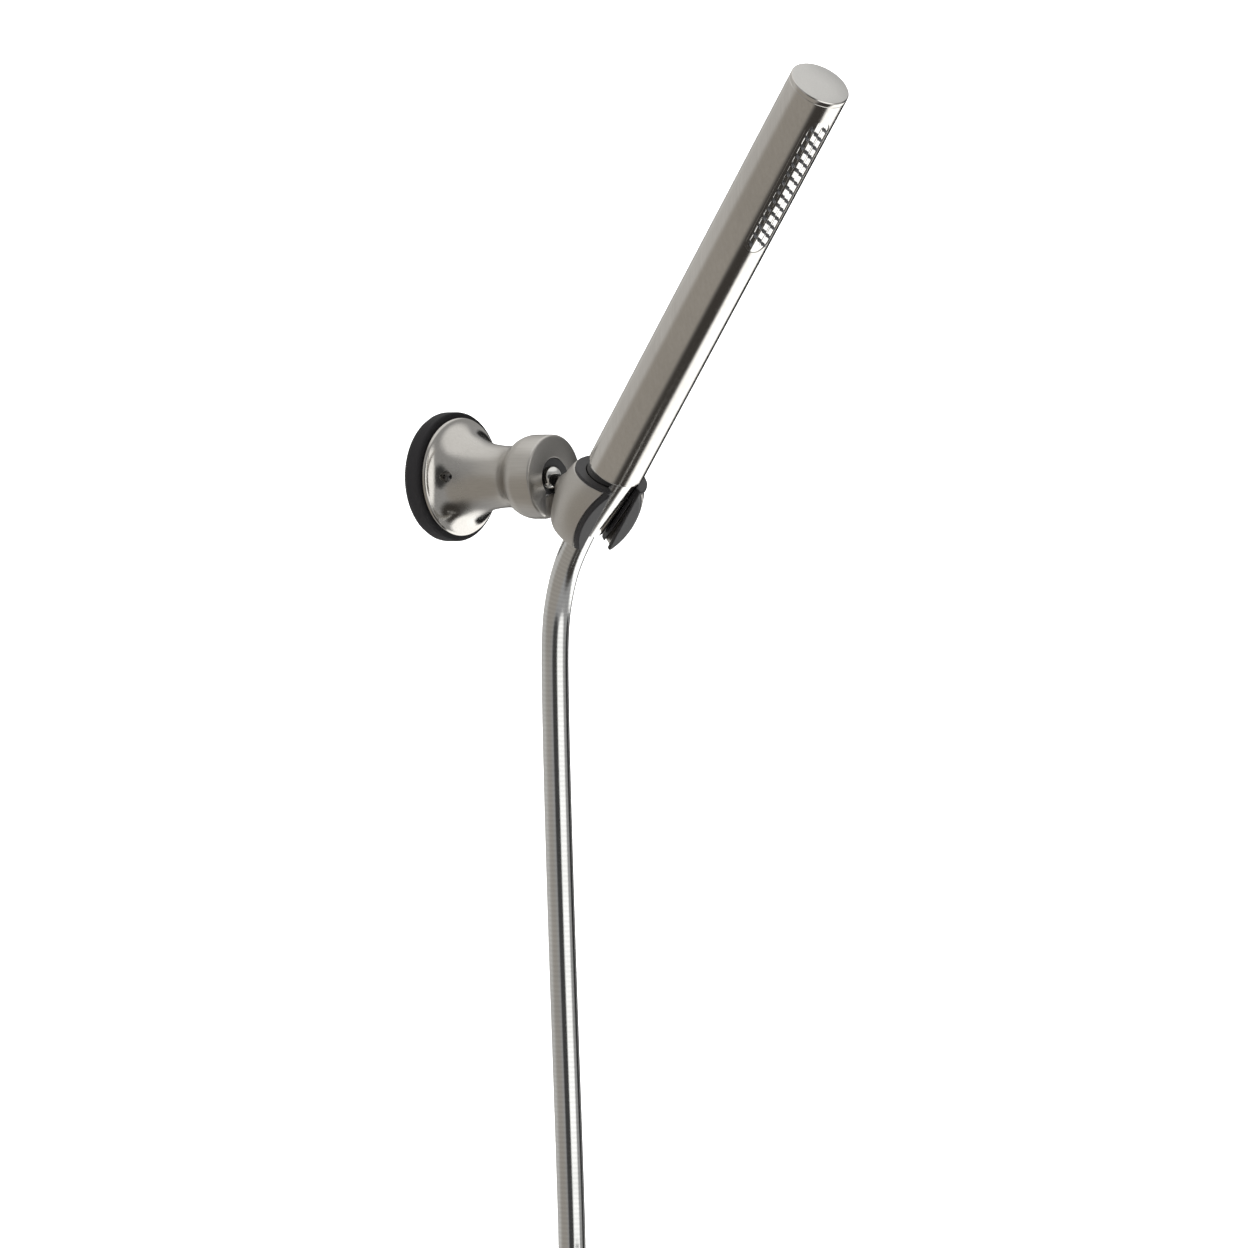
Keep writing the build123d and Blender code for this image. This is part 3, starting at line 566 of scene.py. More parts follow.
# ------------------------------------------------------------------ repeats by Geometry Nodes
def scatter_tree(name: str) -> bpy.types.NodeTree:
    """A node tree that puts a copy of a part at each point, along the point's look direction.

    Args:
        name: the tree's name.

    Returns:
        The tree, with inputs Part, Size, Wobble, Seed and Finish.
    """
    tree = bpy.data.node_groups.new(name, "GeometryNodeTree")
    face = tree.interface
    face.new_socket("Geometry", in_out="INPUT", socket_type="NodeSocketGeometry")
    face.new_socket("Part", in_out="INPUT", socket_type="NodeSocketObject")
    face.new_socket("Size", in_out="INPUT", socket_type="NodeSocketFloat")
    face.new_socket("Wobble", in_out="INPUT", socket_type="NodeSocketFloat")
    face.new_socket("Seed", in_out="INPUT", socket_type="NodeSocketInt")
    face.new_socket("Finish", in_out="INPUT", socket_type="NodeSocketMaterial")
    face.new_socket("Geometry", in_out="OUTPUT", socket_type="NodeSocketGeometry")

    def add(kind: str, **settings: object) -> bpy.types.Node:
        """A node with its settings."""
        made = tree.nodes.new(kind)
        for key, value in settings.items():
            setattr(made, key, value)
        return made

    link = tree.links.new
    into, out = add("NodeGroupInput"), add("NodeGroupOutput")
    part = add("GeometryNodeObjectInfo", transform_space="ORIGINAL")
    look = add("GeometryNodeInputNamedAttribute", data_type="FLOAT_VECTOR")
    look.inputs["Name"].default_value = "look"
    aim = add("FunctionNodeAlignEulerToVector", axis="Z")
    shake = add("FunctionNodeRandomValue", data_type="FLOAT")
    low = add("ShaderNodeMath", operation="SUBTRACT")
    high = add("ShaderNodeMath", operation="ADD")
    spots = add("GeometryNodeInstanceOnPoints")
    real = add("GeometryNodeRealizeInstances")
    coat = add("GeometryNodeSetMaterial")
    link(into.outputs["Part"], part.inputs[0])
    link(look.outputs[0], aim.inputs["Vector"])
    for node in (low, high):
        link(into.outputs["Size"], node.inputs[0])
        link(into.outputs["Wobble"], node.inputs[1])
    floats = [s for s in shake.inputs if s.type == "VALUE"]
    link(low.outputs[0], floats[0])
    link(high.outputs[0], floats[1])
    link(into.outputs["Seed"], shake.inputs["Seed"])
    size = next(s for s in shake.outputs if s.type == "VALUE" and s.enabled)
    link(into.outputs["Geometry"], spots.inputs["Points"])
    link(part.outputs["Geometry"], spots.inputs["Instance"])
    link(aim.outputs[0], spots.inputs["Rotation"])
    link(size, spots.inputs["Scale"])
    link(spots.outputs[0], real.inputs[0])
    link(real.outputs[0], coat.inputs["Geometry"])
    link(into.outputs["Finish"], coat.inputs["Material"])
    link(coat.outputs[0], out.inputs[0])
    return tree


def scatter(name: str, part: bpy.types.Object, spots: Sequence[tuple[Vector, Vector]],
            material: bpy.types.Material, wobble: float = 0.0, seed: int = 7) -> bpy.types.Object:
    """Copies of a part at given points, each looking along its own direction, as one mesh.

    Args:
        name: the piece's name.
        part: the part, made at the origin and looking along z; it is used up.
        spots: a point and a direction for each copy.
        material: what the copies are made of.
        wobble: how much the copies differ in size, as a share.
        seed: fixes the differences.

    Returns:
        The piece.
    """
    mesh = bpy.data.meshes.new(name)
    mesh.from_pydata([tuple(p) for p, _ in spots], [], [])
    look = mesh.attributes.new("look", "FLOAT_VECTOR", "POINT")
    look.data.foreach_set("vector", [c for _, d in spots for c in d])
    piece = new_object(name, mesh)
    step = piece.modifiers.new("scatter", "NODES")
    tree = scatter_tree(name + "_tree")
    step.node_group = tree
    values = {"Part": part, "Size": 1.0, "Wobble": wobble, "Seed": seed, "Finish": material}
    for socket in tree.interface.items_tree:
        if socket.item_type == "SOCKET" and socket.in_out == "INPUT" and socket.name in values:
            step[socket.identifier] = values[socket.name]
    bake(piece, MERGED_ANGLE)
    bpy.data.objects.remove(part)
    return piece


def merge(name: str, pieces: Sequence[bpy.types.Object]) -> bpy.types.Object:
    """Put several pieces' meshes into one piece; the first ones are used up."""
    work = bmesh.new()
    for piece in pieces:
        work.from_mesh(piece.data)
        bpy.data.objects.remove(piece)
    mesh = bpy.data.meshes.new(name)
    work.to_mesh(mesh)
    work.free()
    return new_object(name, polish(mesh, MERGED_ANGLE))


# ------------------------------------------------------------------ base and arm on the wall
@dataclass
class WallBase:
    """Black ring on the wall, and the arm that bulges into the ball's housing."""

    ring_r: float = 31.5 * MM
    ring_back: float = 1.0 * MM
    ring_front: float = 8.5 * MM
    ring_edge: float = 1.2 * MM
    plate_r: float = 24.3 * MM
    plate_back: float = 5.5 * MM
    hub_r: float = 9.0 * MM
    screw_r: float = 2.5 * MM
    screw_at: float = 15.0 * MM
    rim_r: float = 28.7 * MM
    rim_front: float = 11.1 * MM
    nose_x: float = 68.0 * MM
    bulb_r: float = 20.3 * MM
    nose_edge: float = 1.3 * MM
    nose_straight: float = 8.0 * MM
    mouth_lead: float = 0.3 * MM
    bore_r: float = 9.5 * MM
    slot_half: float = 6.4 * MM
    slot_back: float = 62.0 * MM
    slot_deep: float = 24.0 * MM
    edge_round: float = 0.35 * MM
    hollow_r: float = 22.0 * MM
    hollow_top_r: float = 20.72 * MM
    hollow_x: float = 14.5 * MM
    set_screw_r: float = 2.55 * MM
    set_screw_x: float = 18.0 * MM

    def make_ring(self) -> bpy.types.Object:
        """The black ring, with its recess for the fixing plate and its two screw holes."""
        outline = soften([
            (self.hub_r, self.ring_back), (self.ring_r, self.ring_back),
            (self.ring_r, self.ring_front), (self.plate_r, self.ring_front),
            (self.plate_r, self.plate_back), (self.hub_r, self.plate_back),
        ], self.ring_edge)
        ring = lathe("base_ring_skin", WALL_SEAT, outline, 160, closed=True)
        for height in (-self.screw_at, self.screw_at):
            drill_seat = replace(WALL_SEAT, origin=WALL_SEAT.at(0, height, 0))
            drill = lathe("drill", drill_seat, [
                (0, 0), (self.screw_r, 0), (self.screw_r, self.ring_front), (0, self.ring_front)], 32)
            combine(ring, drill, Join.CUT)
        return dress(ring, BLACK.build(), "wall_bracket", ["base_ring"])

    def flare(self) -> list[tuple[float, float]]:
        """The arm's outer outline from the rim to the widest part of the housing."""
        stations = [
            (28.7, 11.1), (23.3, 14.7), (19.5, 20.6), (16.2, 29.1), (14.9, 41.0), (16.2, 47.2),
            (19.2, 52.5), (20.3, 57.5)]
        points = [Vector((r * MM, x * MM)) for r, x in stations]
        first = points[1] - Vector((-0.970, 0.243)) * (2 * (points[1] - points[0]).length)
        last = points[-2] + Vector((0, 1)) * (2 * (points[-1] - points[-2]).length)
        return curve_through([first, *points, last], 10)[10:-10]

    def make_arm(self) -> bpy.types.Object:
        """The arm: flange, waist and housing, with the ball's mouth and the slot under it."""
        flare = self.flare()
        ball_x = BALL.x
        open_at = math.asin((self.nose_x - ball_x) / self.bore_r)
        inside = [(self.bore_r * math.cos(a), ball_x + self.bore_r * math.sin(a))
                  for a in (open_at * (1 - i / 6) for i in range(7))]
        lead = 0.5 * MM
        nose = soften([
            (self.bulb_r, self.nose_x - self.nose_straight), (self.bulb_r, self.nose_x),
            (inside[0][0] + self.mouth_lead, self.nose_x),
            (inside[1][0] - 0.05 * MM, inside[1][1])], self.nose_edge, 5)
        outline = [
            (self.hollow_r, self.plate_back + 3.0 * MM), (self.rim_r - lead, self.ring_front),
            (self.rim_r, self.ring_front + lead), (self.rim_r, self.rim_front - lead),
            (self.rim_r - lead * 0.4, self.rim_front - lead * 0.3),
            *flare[1:], *nose, *inside[2:],
            (self.bore_r, self.hollow_x), (self.hollow_top_r, self.hollow_x)]
        arm = lathe("bracket_arm_skin", WALL_SEAT, outline, 160, closed=True)
        slot = prism("slot", ORIGIN_SEAT, box_outline(
            self.slot_back, self.nose_x + 1 * MM, self.slot_half), -self.slot_deep, 0)
        combine(arm, slot, Join.CUT)
        drill_seat = Seat(
            Vector((self.set_screw_x, 0, 0)), Vector((1, 0, 0)), UP, Vector((0, -1, 0)))
        inner = self.hub_r + 0.05 * MM
        drill = lathe("drill", drill_seat, [
            (0, inner), (self.set_screw_r, inner), (self.set_screw_r, DEEP), (0, DEEP)], 32)
        combine(arm, drill, Join.CUT)
        round_edges(arm, self.edge_round)
        return dress(arm, SATIN.build(), "wall_bracket", ["bracket_arm"])

    def build(self) -> None:
        """Make the ring and the arm."""
        self.make_ring()
        self.make_arm()


@dataclass
class BallStud:
    """Polished ball on its neck, with the collar that the holder turns against."""

    ball_r: float = 5.8 * MM
    neck_r: float = 3.3 * MM
    collar_r: float = 5.5 * MM
    collar_low: float = 14.5 * MM
    collar_top: float = 16.5 * MM
    flare: float = 1.5 * MM
    shank_r: float = 3.0 * MM
    shank_end: float = 27.6 * MM

    def build(self) -> bpy.types.Object:
        """Turn the ball and its stud."""
        reach = math.pi - math.asin(self.neck_r / self.ball_r)
        turns = [-math.pi / 2 + reach * i / 40 for i in range(41)]
        ball = [(max(0.0, self.ball_r * math.cos(a)), self.ball_r * math.sin(a)) for a in turns]
        stem = soften([
            ball[-1], (self.neck_r, self.collar_low - self.flare), (self.collar_r, self.collar_low),
            (self.collar_r, self.collar_top), (self.shank_r, self.collar_top),
            (self.shank_r, self.shank_end), (0, self.shank_end)], 0.3 * MM)
        piece = lathe("ball_stud_skin", STUD_SEAT, [(0, -self.ball_r), *ball[1:-1], *stem], 96)
        return dress(piece, POLISHED.build(), "stud", ["ball_stud"])


# ------------------------------------------------------------------ fork holder
@dataclass
class Holder:
    """Half barrel open at the front, with a black liner that grips the cone nut."""

    mid_r: float = 20.2 * MM
    end_r: float = 16.8 * MM
    front: float = 12.5 * MM
    pocket_top_r: float = 14.82 * MM
    pocket_low_r: float = 11.5 * MM
    gap_half: float = 9.6 * MM
    boss_r: float = 7.6 * MM
    boss_root_r: float = 10.5 * MM
    boss_low: float = 17.5 * MM
    boss_top: float = 28.5 * MM
    hole_r: float = 3.08 * MM
    nut_pocket_r: float = 5.1 * MM
    nut_at: float = 24.35 * MM
    liner_fit: float = 0.12 * MM
    liner_wall: float = 2.2 * MM
    liner_gap_half: float = 7.4 * MM
    lip_r: float = 17.6 * MM
    lip_len: float = 1.6 * MM
    top_at: float = 16.3 * MM
    top_tilt: float = math.radians(12.4)
    top_spare: float = 4.0 * MM
    tip_len: float = 2.0 * MM
    body_grain: float = 0.36 * MM
    liner_grain: float = 0.3 * MM

    @property
    def seat(self) -> Seat:
        """The holder's frame, at the middle of the barrel."""
        return HANDSET_SEAT.up_by(-SIZE.holder_drop)

    @property
    def half(self) -> float:
        """Half the barrel's length."""
        return SIZE.holder_len / 2

    @property
    def top_seat(self) -> Seat:
        """The holder's slanted top, which falls towards the back."""
        level = ALONG * math.cos(self.top_tilt) - FRONT * math.sin(self.top_tilt)
        return Seat(self.seat.at(0, 0, self.top_at), SIDE.cross(level), SIDE, level)

    def barrel(self, name: str) -> bpy.types.Object:
        """The bellied barrel that the body and the fork tips are cut from."""
        rise = self.mid_r - self.end_r
        round_r = (rise**2 + self.half**2) / (2 * rise)
        belly = [(self.mid_r - round_r + math.sqrt(round_r**2 - h**2), h)
                 for h in (self.half * (i / 16 - 1) for i in range(33))]
        high = self.half + self.top_spare
        return lathe(name, self.seat,
                     [(0, -self.half), *belly, (self.end_r, high), (0, high)], 144)

    def trim_top(self, piece: bpy.types.Object, rise: float) -> None:
        """Cut away what stands above the slanted top, or above a level over it."""
        above = prism("above", self.top_seat, box_outline(-REACH, REACH, REACH), rise, REACH)
        combine(piece, above, Join.CUT)

    def make_body(self) -> bpy.types.Object:
        """The satin half barrel with its boss, pocket, front opening and stud hole."""
        body = self.barrel("holder_body_skin")
        boss = lathe("boss", STUD_SEAT, [
            (0, self.boss_low), (self.boss_r, self.boss_low), (self.boss_root_r, self.boss_top),
            (0, self.boss_top)], 96)
        combine(body, boss, Join.ADD)
        self.trim_top(body, 0)
        pocket = lathe("pocket", self.seat, self.cone_outline(0, 2 * MM), 144)
        combine(body, pocket, Join.CUT)
        opening = prism("opening", self.seat, box_outline(0, REACH, self.gap_half), -DEEP, DEEP)
        combine(body, opening, Join.CUT)
        face = prism("face", self.seat, box_outline(self.front, REACH, REACH), -DEEP, DEEP)
        combine(body, face, Join.CUT)
        hole = lathe("hole", STUD_SEAT, [
            (0, 10 * MM), (self.hole_r, 10 * MM), (self.hole_r, self.nut_at),
            (self.nut_pocket_r, self.nut_at), (self.nut_pocket_r, 39 * MM), (0, 39 * MM)], 48)
        combine(body, hole, Join.CUT)
        cast_skin(body, self.body_grain, 7)
        return dress(body, SATIN_CAST.build(), "holder", ["holder_body"])

    def cone_outline(self, inset: float, spare: float) -> list[tuple[float, float]]:
        """The tapered pocket.

        Args:
            inset: how much smaller the cone is than the pocket, in radius.
            spare: how far it runs out past both ends.

        Returns:
            Its outline from pole to pole.
        """
        slope = (self.pocket_top_r - self.pocket_low_r) / (2 * self.half)
        low, high = -self.half - spare, self.half + self.top_spare + spare
        low_r = self.pocket_low_r - inset - slope * spare
        return [(0, low), (low_r, low), (low_r + slope * (high - low), high), (0, high)]

    def make_liner(self) -> bpy.types.Object:
        """The black liner: a sleeve with a lip over the slanted top and tips on the fork."""
        liner = self.barrel("holder_liner_skin")
        behind = prism("behind", self.seat, box_outline(
            -2 * DEEP, self.front + self.liner_fit, REACH), -DEEP, DEEP)
        combine(liner, behind, Join.CUT)
        sleeve = lathe("sleeve", self.seat, self.cone_outline(self.liner_fit, 0), 144)
        combine(liner, sleeve, Join.ADD)
        spare = self.lip_len + 3 * MM
        lip = lathe("lip", self.top_seat, [
            (0, self.liner_fit), (self.lip_r, self.liner_fit), (self.lip_r, spare), (0, spare)], 144)
        combine(liner, lip, Join.ADD)
        self.trim_top(liner, self.liner_fit + self.lip_len)
        bore = lathe("bore", self.seat, self.cone_outline(self.liner_wall, 2 * MM), 144)
        combine(liner, bore, Join.CUT)
        opening = prism("opening", self.seat, box_outline(0, REACH, self.liner_gap_half),
                        -DEEP, DEEP)
        combine(liner, opening, Join.CUT)
        face = prism("face", self.seat, box_outline(self.front + self.tip_len, REACH, REACH),
                     -DEEP, DEEP)
        combine(liner, face, Join.CUT)
        cast_skin(liner, self.liner_grain, 4)
        return dress(liner, LINER_BLACK.build(), "holder", ["holder_liner"])

    def build(self) -> None:
        """Make the body and its liner."""
        self.make_body()
        self.make_liner()


# ------------------------------------------------------------------ handset
@dataclass
class Handset:
    """Slim tube with a flat cap, a spray panel near its tip and a cone nut at its foot."""

    spigot_low: float = 228.5 * MM
    spigot_r: float = 12.2 * MM
    spigot_inner_r: float = 8.85 * MM
    groove_low: float = 230.07 * MM
    groove_top: float = 231.93 * MM
    groove_r: float = 10.36 * MM
    cap_edge: float = 0.5 * MM
    mat_low: float = 130.0 * MM
    mat_top: float = 232.0 * MM
    mat_r: float = 12.15 * MM
    mat_thick: float = 1.4 * MM
    plate_r: float = 13.4 * MM
    nozzle_r: float = 0.85 * MM
    nozzle_hole_r: float = 0.3 * MM
    nozzle_stand: float = 1.5 * MM
    nozzle_pitch: float = 5.2 * MM
    nozzle_cols: int = 14
    row_angle: float = math.radians(14)
    thread_r: float = 10.28 * MM
    shoulder: float = 13.65 * MM
    nut_edge: float = 0.6 * MM

    def make_tube(self) -> bpy.types.Object:
        """The polished tube with the panel's window."""
        outer, inner = SIZE.handset_r, SIZE.handset_r - SIZE.handset_wall
        top = SIZE.handset_len - SIZE.cap_thick
        lead = 0.15 * MM
        outline = [(inner, 0), (outer - lead, 0), (outer, lead)]
        outline += [(outer, top * i / 12) for i in range(1, 12)]
        outline += [(outer, top - lead), (outer - lead, top), (inner, top)]
        tube = lathe("handset_tube_skin", HANDSET_SEAT, outline, 192, closed=True)
        window = prism("window", PANEL_SEAT, slot_outline(SIZE.panel_len / 2, SIZE.panel_half),
                       6 * MM, 20 * MM)
        combine(tube, window, Join.CUT)
        return dress(tube, TUBE_NICKEL.build(), "handset", ["handset_tube"])

    def make_cap(self) -> bpy.types.Object:
        """The flat cap with its narrow chamfer and the spigot under it."""
        outer, top = SIZE.handset_r, SIZE.handset_len
        low = top - SIZE.cap_thick
        groove_low, groove_top, groove_r = self.groove_low, self.groove_top, self.groove_r
        outline = [
            (0, top), (outer - self.cap_edge - 0.1 * MM, top),
            (outer - self.cap_edge + 0.05 * MM, top - 0.06 * MM),
            (outer - 0.06 * MM, top - self.cap_edge + 0.05 * MM),
            (outer, top - self.cap_edge - 0.1 * MM), (outer, low + 0.15 * MM),
            (outer - 0.15 * MM, low), (self.spigot_r, low), (self.spigot_r, groove_top),
            (groove_r, groove_top), (groove_r, groove_low), (self.spigot_r, groove_low),
            (self.spigot_r, self.spigot_low), (self.spigot_inner_r, self.spigot_low),
            (self.spigot_inner_r, low), (0, low)]
        cap = lathe("end_cap_skin", HANDSET_SEAT, outline, 160)
        dress(cap, CAP_NICKEL.build(), "handset", ["end_cap"])
        cap.data.materials.append(TUBE_NICKEL.build())
        for face in cap.data.polygons:
            face.material_index = 0 if face.normal.dot(ALONG) > 0.9 else 1
        return cap

    def nozzle_spots(self) -> list[tuple[Vector, Vector]]:
        """Where each nozzle stands and where it looks: three rows, the middle one staggered."""
        first = SIZE.panel_mid - (self.nozzle_cols - 1) * self.nozzle_pitch / 2
        spots = []
        for row in (-1, 0, 1):
            look = FRONT * math.cos(row * self.row_angle) + SIDE * math.sin(row * self.row_angle)
            stagger = self.nozzle_pitch / 2 if row == 0 else 0.0
            for i in range(self.nozzle_cols - (row == 0)):
                at = HANDSET_SEAT.at(0, 0, first + stagger + i * self.nozzle_pitch)
                spots.append((at + look * (self.mat_r - self.mat_thick / 2), look))
        return spots

    def make_mat(self) -> bpy.types.Object:
        """The soft mat behind the plate, and the nozzles that stand through the plate's holes."""
        stand = self.plate_r + self.nozzle_stand - self.mat_r + self.mat_thick / 2
        tip_r = self.nozzle_r - stand * math.tan(math.radians(4))
        nozzle = lathe("nozzle", ORIGIN_SEAT, [
            (self.nozzle_r, 0), (tip_r, stand - 0.12 * MM), (tip_r - 0.12 * MM, stand),
            (self.nozzle_hole_r, stand), (self.nozzle_hole_r, 0)], 20, closed=True)
        rubber = SILICONE.build()
        nozzles = scatter("nozzles", nozzle, self.nozzle_spots(), rubber)
        strip = lathe("strip", HANDSET_SEAT, [
            (self.mat_r - self.mat_thick, self.mat_low), (self.mat_r, self.mat_low),
            (self.mat_r, self.mat_top), (self.mat_r - self.mat_thick, self.mat_top)],
            144, closed=True)
        window = prism("window", PANEL_SEAT, slot_outline(
            SIZE.panel_len / 2 - 0.2 * MM, SIZE.panel_half - 0.2 * MM), 5 * MM, 20 * MM)
        combine(strip, window, Join.KEEP_COMMON)
        mat = merge("nozzle_mat_skin", [strip, nozzles])
        return dress(mat, rubber, "handset", ["nozzle_mat"])

    def make_nut(self) -> bpy.types.Object:
        """The cone nut at the handset's foot, bored for the hose and opened out inside to the
        thread's size.
        """
        low, top = -SIZE.nut_gap - SIZE.nut_len, -SIZE.nut_gap
        bore = SIZE.hose_r + 0.1 * MM
        skin = soften([
            (bore, low), (SIZE.nut_bottom_r, low), (SIZE.nut_top_r, top), (self.thread_r, top)],
            self.nut_edge, 5)
        outline = [*skin, (self.thread_r, -self.shoulder), (bore, -self.shoulder)]
        nut = lathe("cone_nut_skin", HANDSET_SEAT, outline, 144, closed=True)
        return dress(nut, POLISHED.build(), "handset", ["cone_nut"])

    def make_plate(self) -> bpy.types.Object:
        """The bright plate in the window, with a hole round each nozzle."""
        plate = smooth_copy("spray_plate_skin", "spray_plate")
        return dress(plate, POLISHED.build(), "handset", ["spray_plate"])

    def build(self) -> None:
        """Make the tube, the cap, the panel and the cone nut."""
        self.make_tube()
        self.make_cap()
        self.make_plate()
        self.make_mat()
        self.make_nut()


# ------------------------------------------------------------------ hose, its coil and its end
@dataclass
class HoseLine:
    """Smooth hose that drops from the cone nut, turns in a tied coil and ends in a fitting."""

    windings_per_metre = 420.0
    sides: int = 36
    # reach from the ball along the level line and height above it, from the cone nut down
    drop: Sequence[Point] = (
        (33.05, -22.25), (19.6, -35.7), (9.85, -52.6), (4.4, -72.9), (5.1, -110.9),
        (8.0, -170.0), (12.3, -241.0), (17.6, -318.0), (20.8, -372.0), (20.8, -408.0))
    points_per_turn: int = 16
    tie_angles: Sequence[float] = (0.0, 90.0)
    tie_width: float = 12.0 * MM
    tie_thick: float = 1.2 * MM
    tie_clear: float = 1.2 * MM
    tie_corner: float = 5.0 * MM
    tie_edge: float = 0.3 * MM

    def place(self, reach: float, rise: float, side: float = 0.0) -> Vector:
        """A point from its reach, its rise and its place to the side, all from the ball."""
        return BALL + OUT * reach + UP * rise + SIDE * side

    @property
    def middle(self) -> tuple[float, float]:
        """Reach and rise of the coil's middle."""
        reach, rise = self.drop[-1]
        return reach * MM + SIZE.coil_mean_r, rise * MM - SIZE.coil_lead

    def controls(self) -> list[Vector]:
        """The spline's control points: the drop, the lead, the turns of the coil and the tail."""
        points = [self.place(reach * MM, rise * MM) for reach, rise in self.drop]
        reach, rise = self.middle
        radius = SIZE.coil_mean_r / 0.981
        count = self.points_per_turn * SIZE.coil_turns
        for i in range(count + 1):
            angle = math.pi + 2 * math.pi * i / self.points_per_turn
            side = SIZE.coil_pitch * SIZE.coil_turns * i / count
            points.append(self.place(reach + radius * math.cos(angle),
                                     rise + radius * math.sin(angle), side))
        wide = SIZE.coil_pitch * SIZE.coil_turns
        points += [self.place(reach - SIZE.coil_mean_r, rise - d, wide)
                   for d in (SIZE.tail_len * 0.45, SIZE.tail_len)]
        return points

    def centreline(self) -> list[Vector]:
        """Points close together along the spline's evaluated line."""
        curve = bpy.data.curves.new("hose_line", "CURVE")
        curve.dimensions = "3D"
        spline = curve.splines.new("NURBS")
        controls = self.controls()
        spline.points.add(len(controls) - 1)
        for point, place in zip(spline.points, controls):
            point.co = (*place, 1.0)
        spline.order_u = 3
        spline.use_endpoint_u = True
        curve.resolution_u = 24
        guide = bpy.data.objects.new("hose_line", curve)
        bpy.context.scene.collection.objects.link(guide)
        graph = bpy.context.evaluated_depsgraph_get()
        mesh = bpy.data.meshes.new_from_object(guide.evaluated_get(graph), depsgraph=graph)
        line = [v.co.copy() for v in mesh.vertices]
        bpy.data.objects.remove(guide)
        bpy.data.meshes.remove(mesh)
        line = [p for i, p in enumerate(line) if i == 0 or (p - line[i - 1]).length > 1e-6]
        if (line[0] - controls[0]).length > (line[-1] - controls[0]).length:
            line.reverse()
        return line

    def tube(self, line: Sequence[Vector]) -> bpy.types.Mesh:
        """A round tube along the line, with a UV of metres along it and turns round it."""
        work = bmesh.new()
        layer = work.loops.layers.uv.new("along")
        tangent = (line[1] - line[0]).normalized()
        across = tangent.cross(SIDE).normalized()
        rings, reach, total = [], [], 0.0
        for i, place in enumerate(line):
            before, after = line[max(i - 1, 0)], line[min(i + 1, len(line) - 1)]
            tangent = (after - before).normalized()
            across = (across - tangent * across.dot(tangent)).normalized()
            upward = tangent.cross(across)
            total += (place - line[i - 1]).length if i else 0.0
            reach.append(total)
            rings.append([work.verts.new(place + (across * math.cos(a) + upward * math.sin(a))
                                         * SIZE.hose_r)
                          for a in (2 * math.pi * k / self.sides for k in range(self.sides))])
        for i in range(len(rings) - 1):
            for k in range(self.sides):
                j = (k + 1) % self.sides
                face = work.faces.new([rings[i][k], rings[i][j], rings[i + 1][j], rings[i + 1][k]])
                corners = [(i, k), (i, k + 1), (i + 1, k + 1), (i + 1, k)]
                for loop, (ring, turn) in zip(face.loops, corners):
                    loop[layer].uv = (reach[ring], turn / self.sides)
        work.faces.new(rings[0])
        work.faces.new(rings[-1])
        bmesh.ops.recalc_face_normals(work, faces=work.faces)
        mesh = bpy.data.meshes.new("hose_skin")
        work.to_mesh(mesh)
        work.free()
        log.info("hose is %.0f mm long", total * 1000)
        return polish(mesh, math.radians(50))

    def make_hose(self) -> tuple[bpy.types.Object, list[Vector]]:
        """The hose and the line that it follows."""
        line = self.centreline()
        hose = new_object("hose_skin", self.tube(line))
        dress(hose, hose_finish(), "hose_line", ["hose", "hose_coil"])
        return hose, line

    def make_ties(self) -> bpy.types.Object:
        """Two black straps that hold the coil's turns together."""
        reach, rise = self.middle
        wide = SIZE.coil_pitch * SIZE.coil_turns
        straps = []
        for angle in self.tie_angles:
            turn = math.radians(angle)
            spoke = OUT * math.cos(turn) + UP * math.sin(turn)
            centre = self.place(reach, rise, wide / 2) + spoke * SIZE.coil_mean_r
            tangent = spoke.cross(SIDE)
            seat = Seat(centre, spoke, tangent.cross(spoke), tangent)
            half_x = SIZE.hose_r + self.tie_clear
            half_y = wide / 2 + half_x
            straps.append(self.strap(seat, half_x, half_y))
        ties = merge("hose_ties_skin", straps)
        return dress(ties, BLACK.build(), "hose_line", ["hose_ties"])

    def strap(self, seat: Seat, half_x: float, half_y: float) -> bpy.types.Object:
        """One strap: a flat band bent round an outline with round corners."""
        edge, half = self.tie_edge, self.tie_width / 2
        inside, mid, outside = (
            self.round_box(half_x + more, half_y + more, self.tie_corner + more)
            for more in (0.0, self.tie_thick - edge, self.tie_thick))
        loops = [(inside, -half), (mid, -half), (outside, -half + edge), (outside, half - edge),
                 (mid, half), (inside, half)]
        work = bmesh.new()
        rings = [[work.verts.new(seat.at(x, y, z)) for x, y in outline] for outline, z in loops]
        for ring, after in zip(rings, rings[1:] + rings[:1]):
            for i in range(len(ring)):
                j = (i + 1) % len(ring)
                work.faces.new([ring[i], ring[j], after[j], after[i]])
        bmesh.ops.recalc_face_normals(work, faces=work.faces)
        mesh = bpy.data.meshes.new("strap")
        work.to_mesh(mesh)
        work.free()
        return new_object("strap", polish(mesh))

    @staticmethod
    def round_box(half_x: float, half_y: float, corner: float) -> list[Point]:
        """An outline with round corners."""
        outline = []
        for quarter, (sx, sy) in enumerate(((1, 1), (-1, 1), (-1, -1), (1, -1))):
            for i in range(9):
                a = math.pi / 2 * (quarter + i / 8)
                outline.append((sx * (half_x - corner) + corner * math.cos(a),
                                sy * (half_y - corner) + corner * math.sin(a)))
        return outline

    def build(self, with_pieces: Sequence[bpy.types.Object]) -> None:
        """Args:
            with_pieces: the pieces on its far end; not used.
        """
        hose, line = self.make_hose()
        ties = self.make_ties()
        HANDSET_SEAT.at(0, 0, -SIZE.nut_gap - SIZE.nut_len)


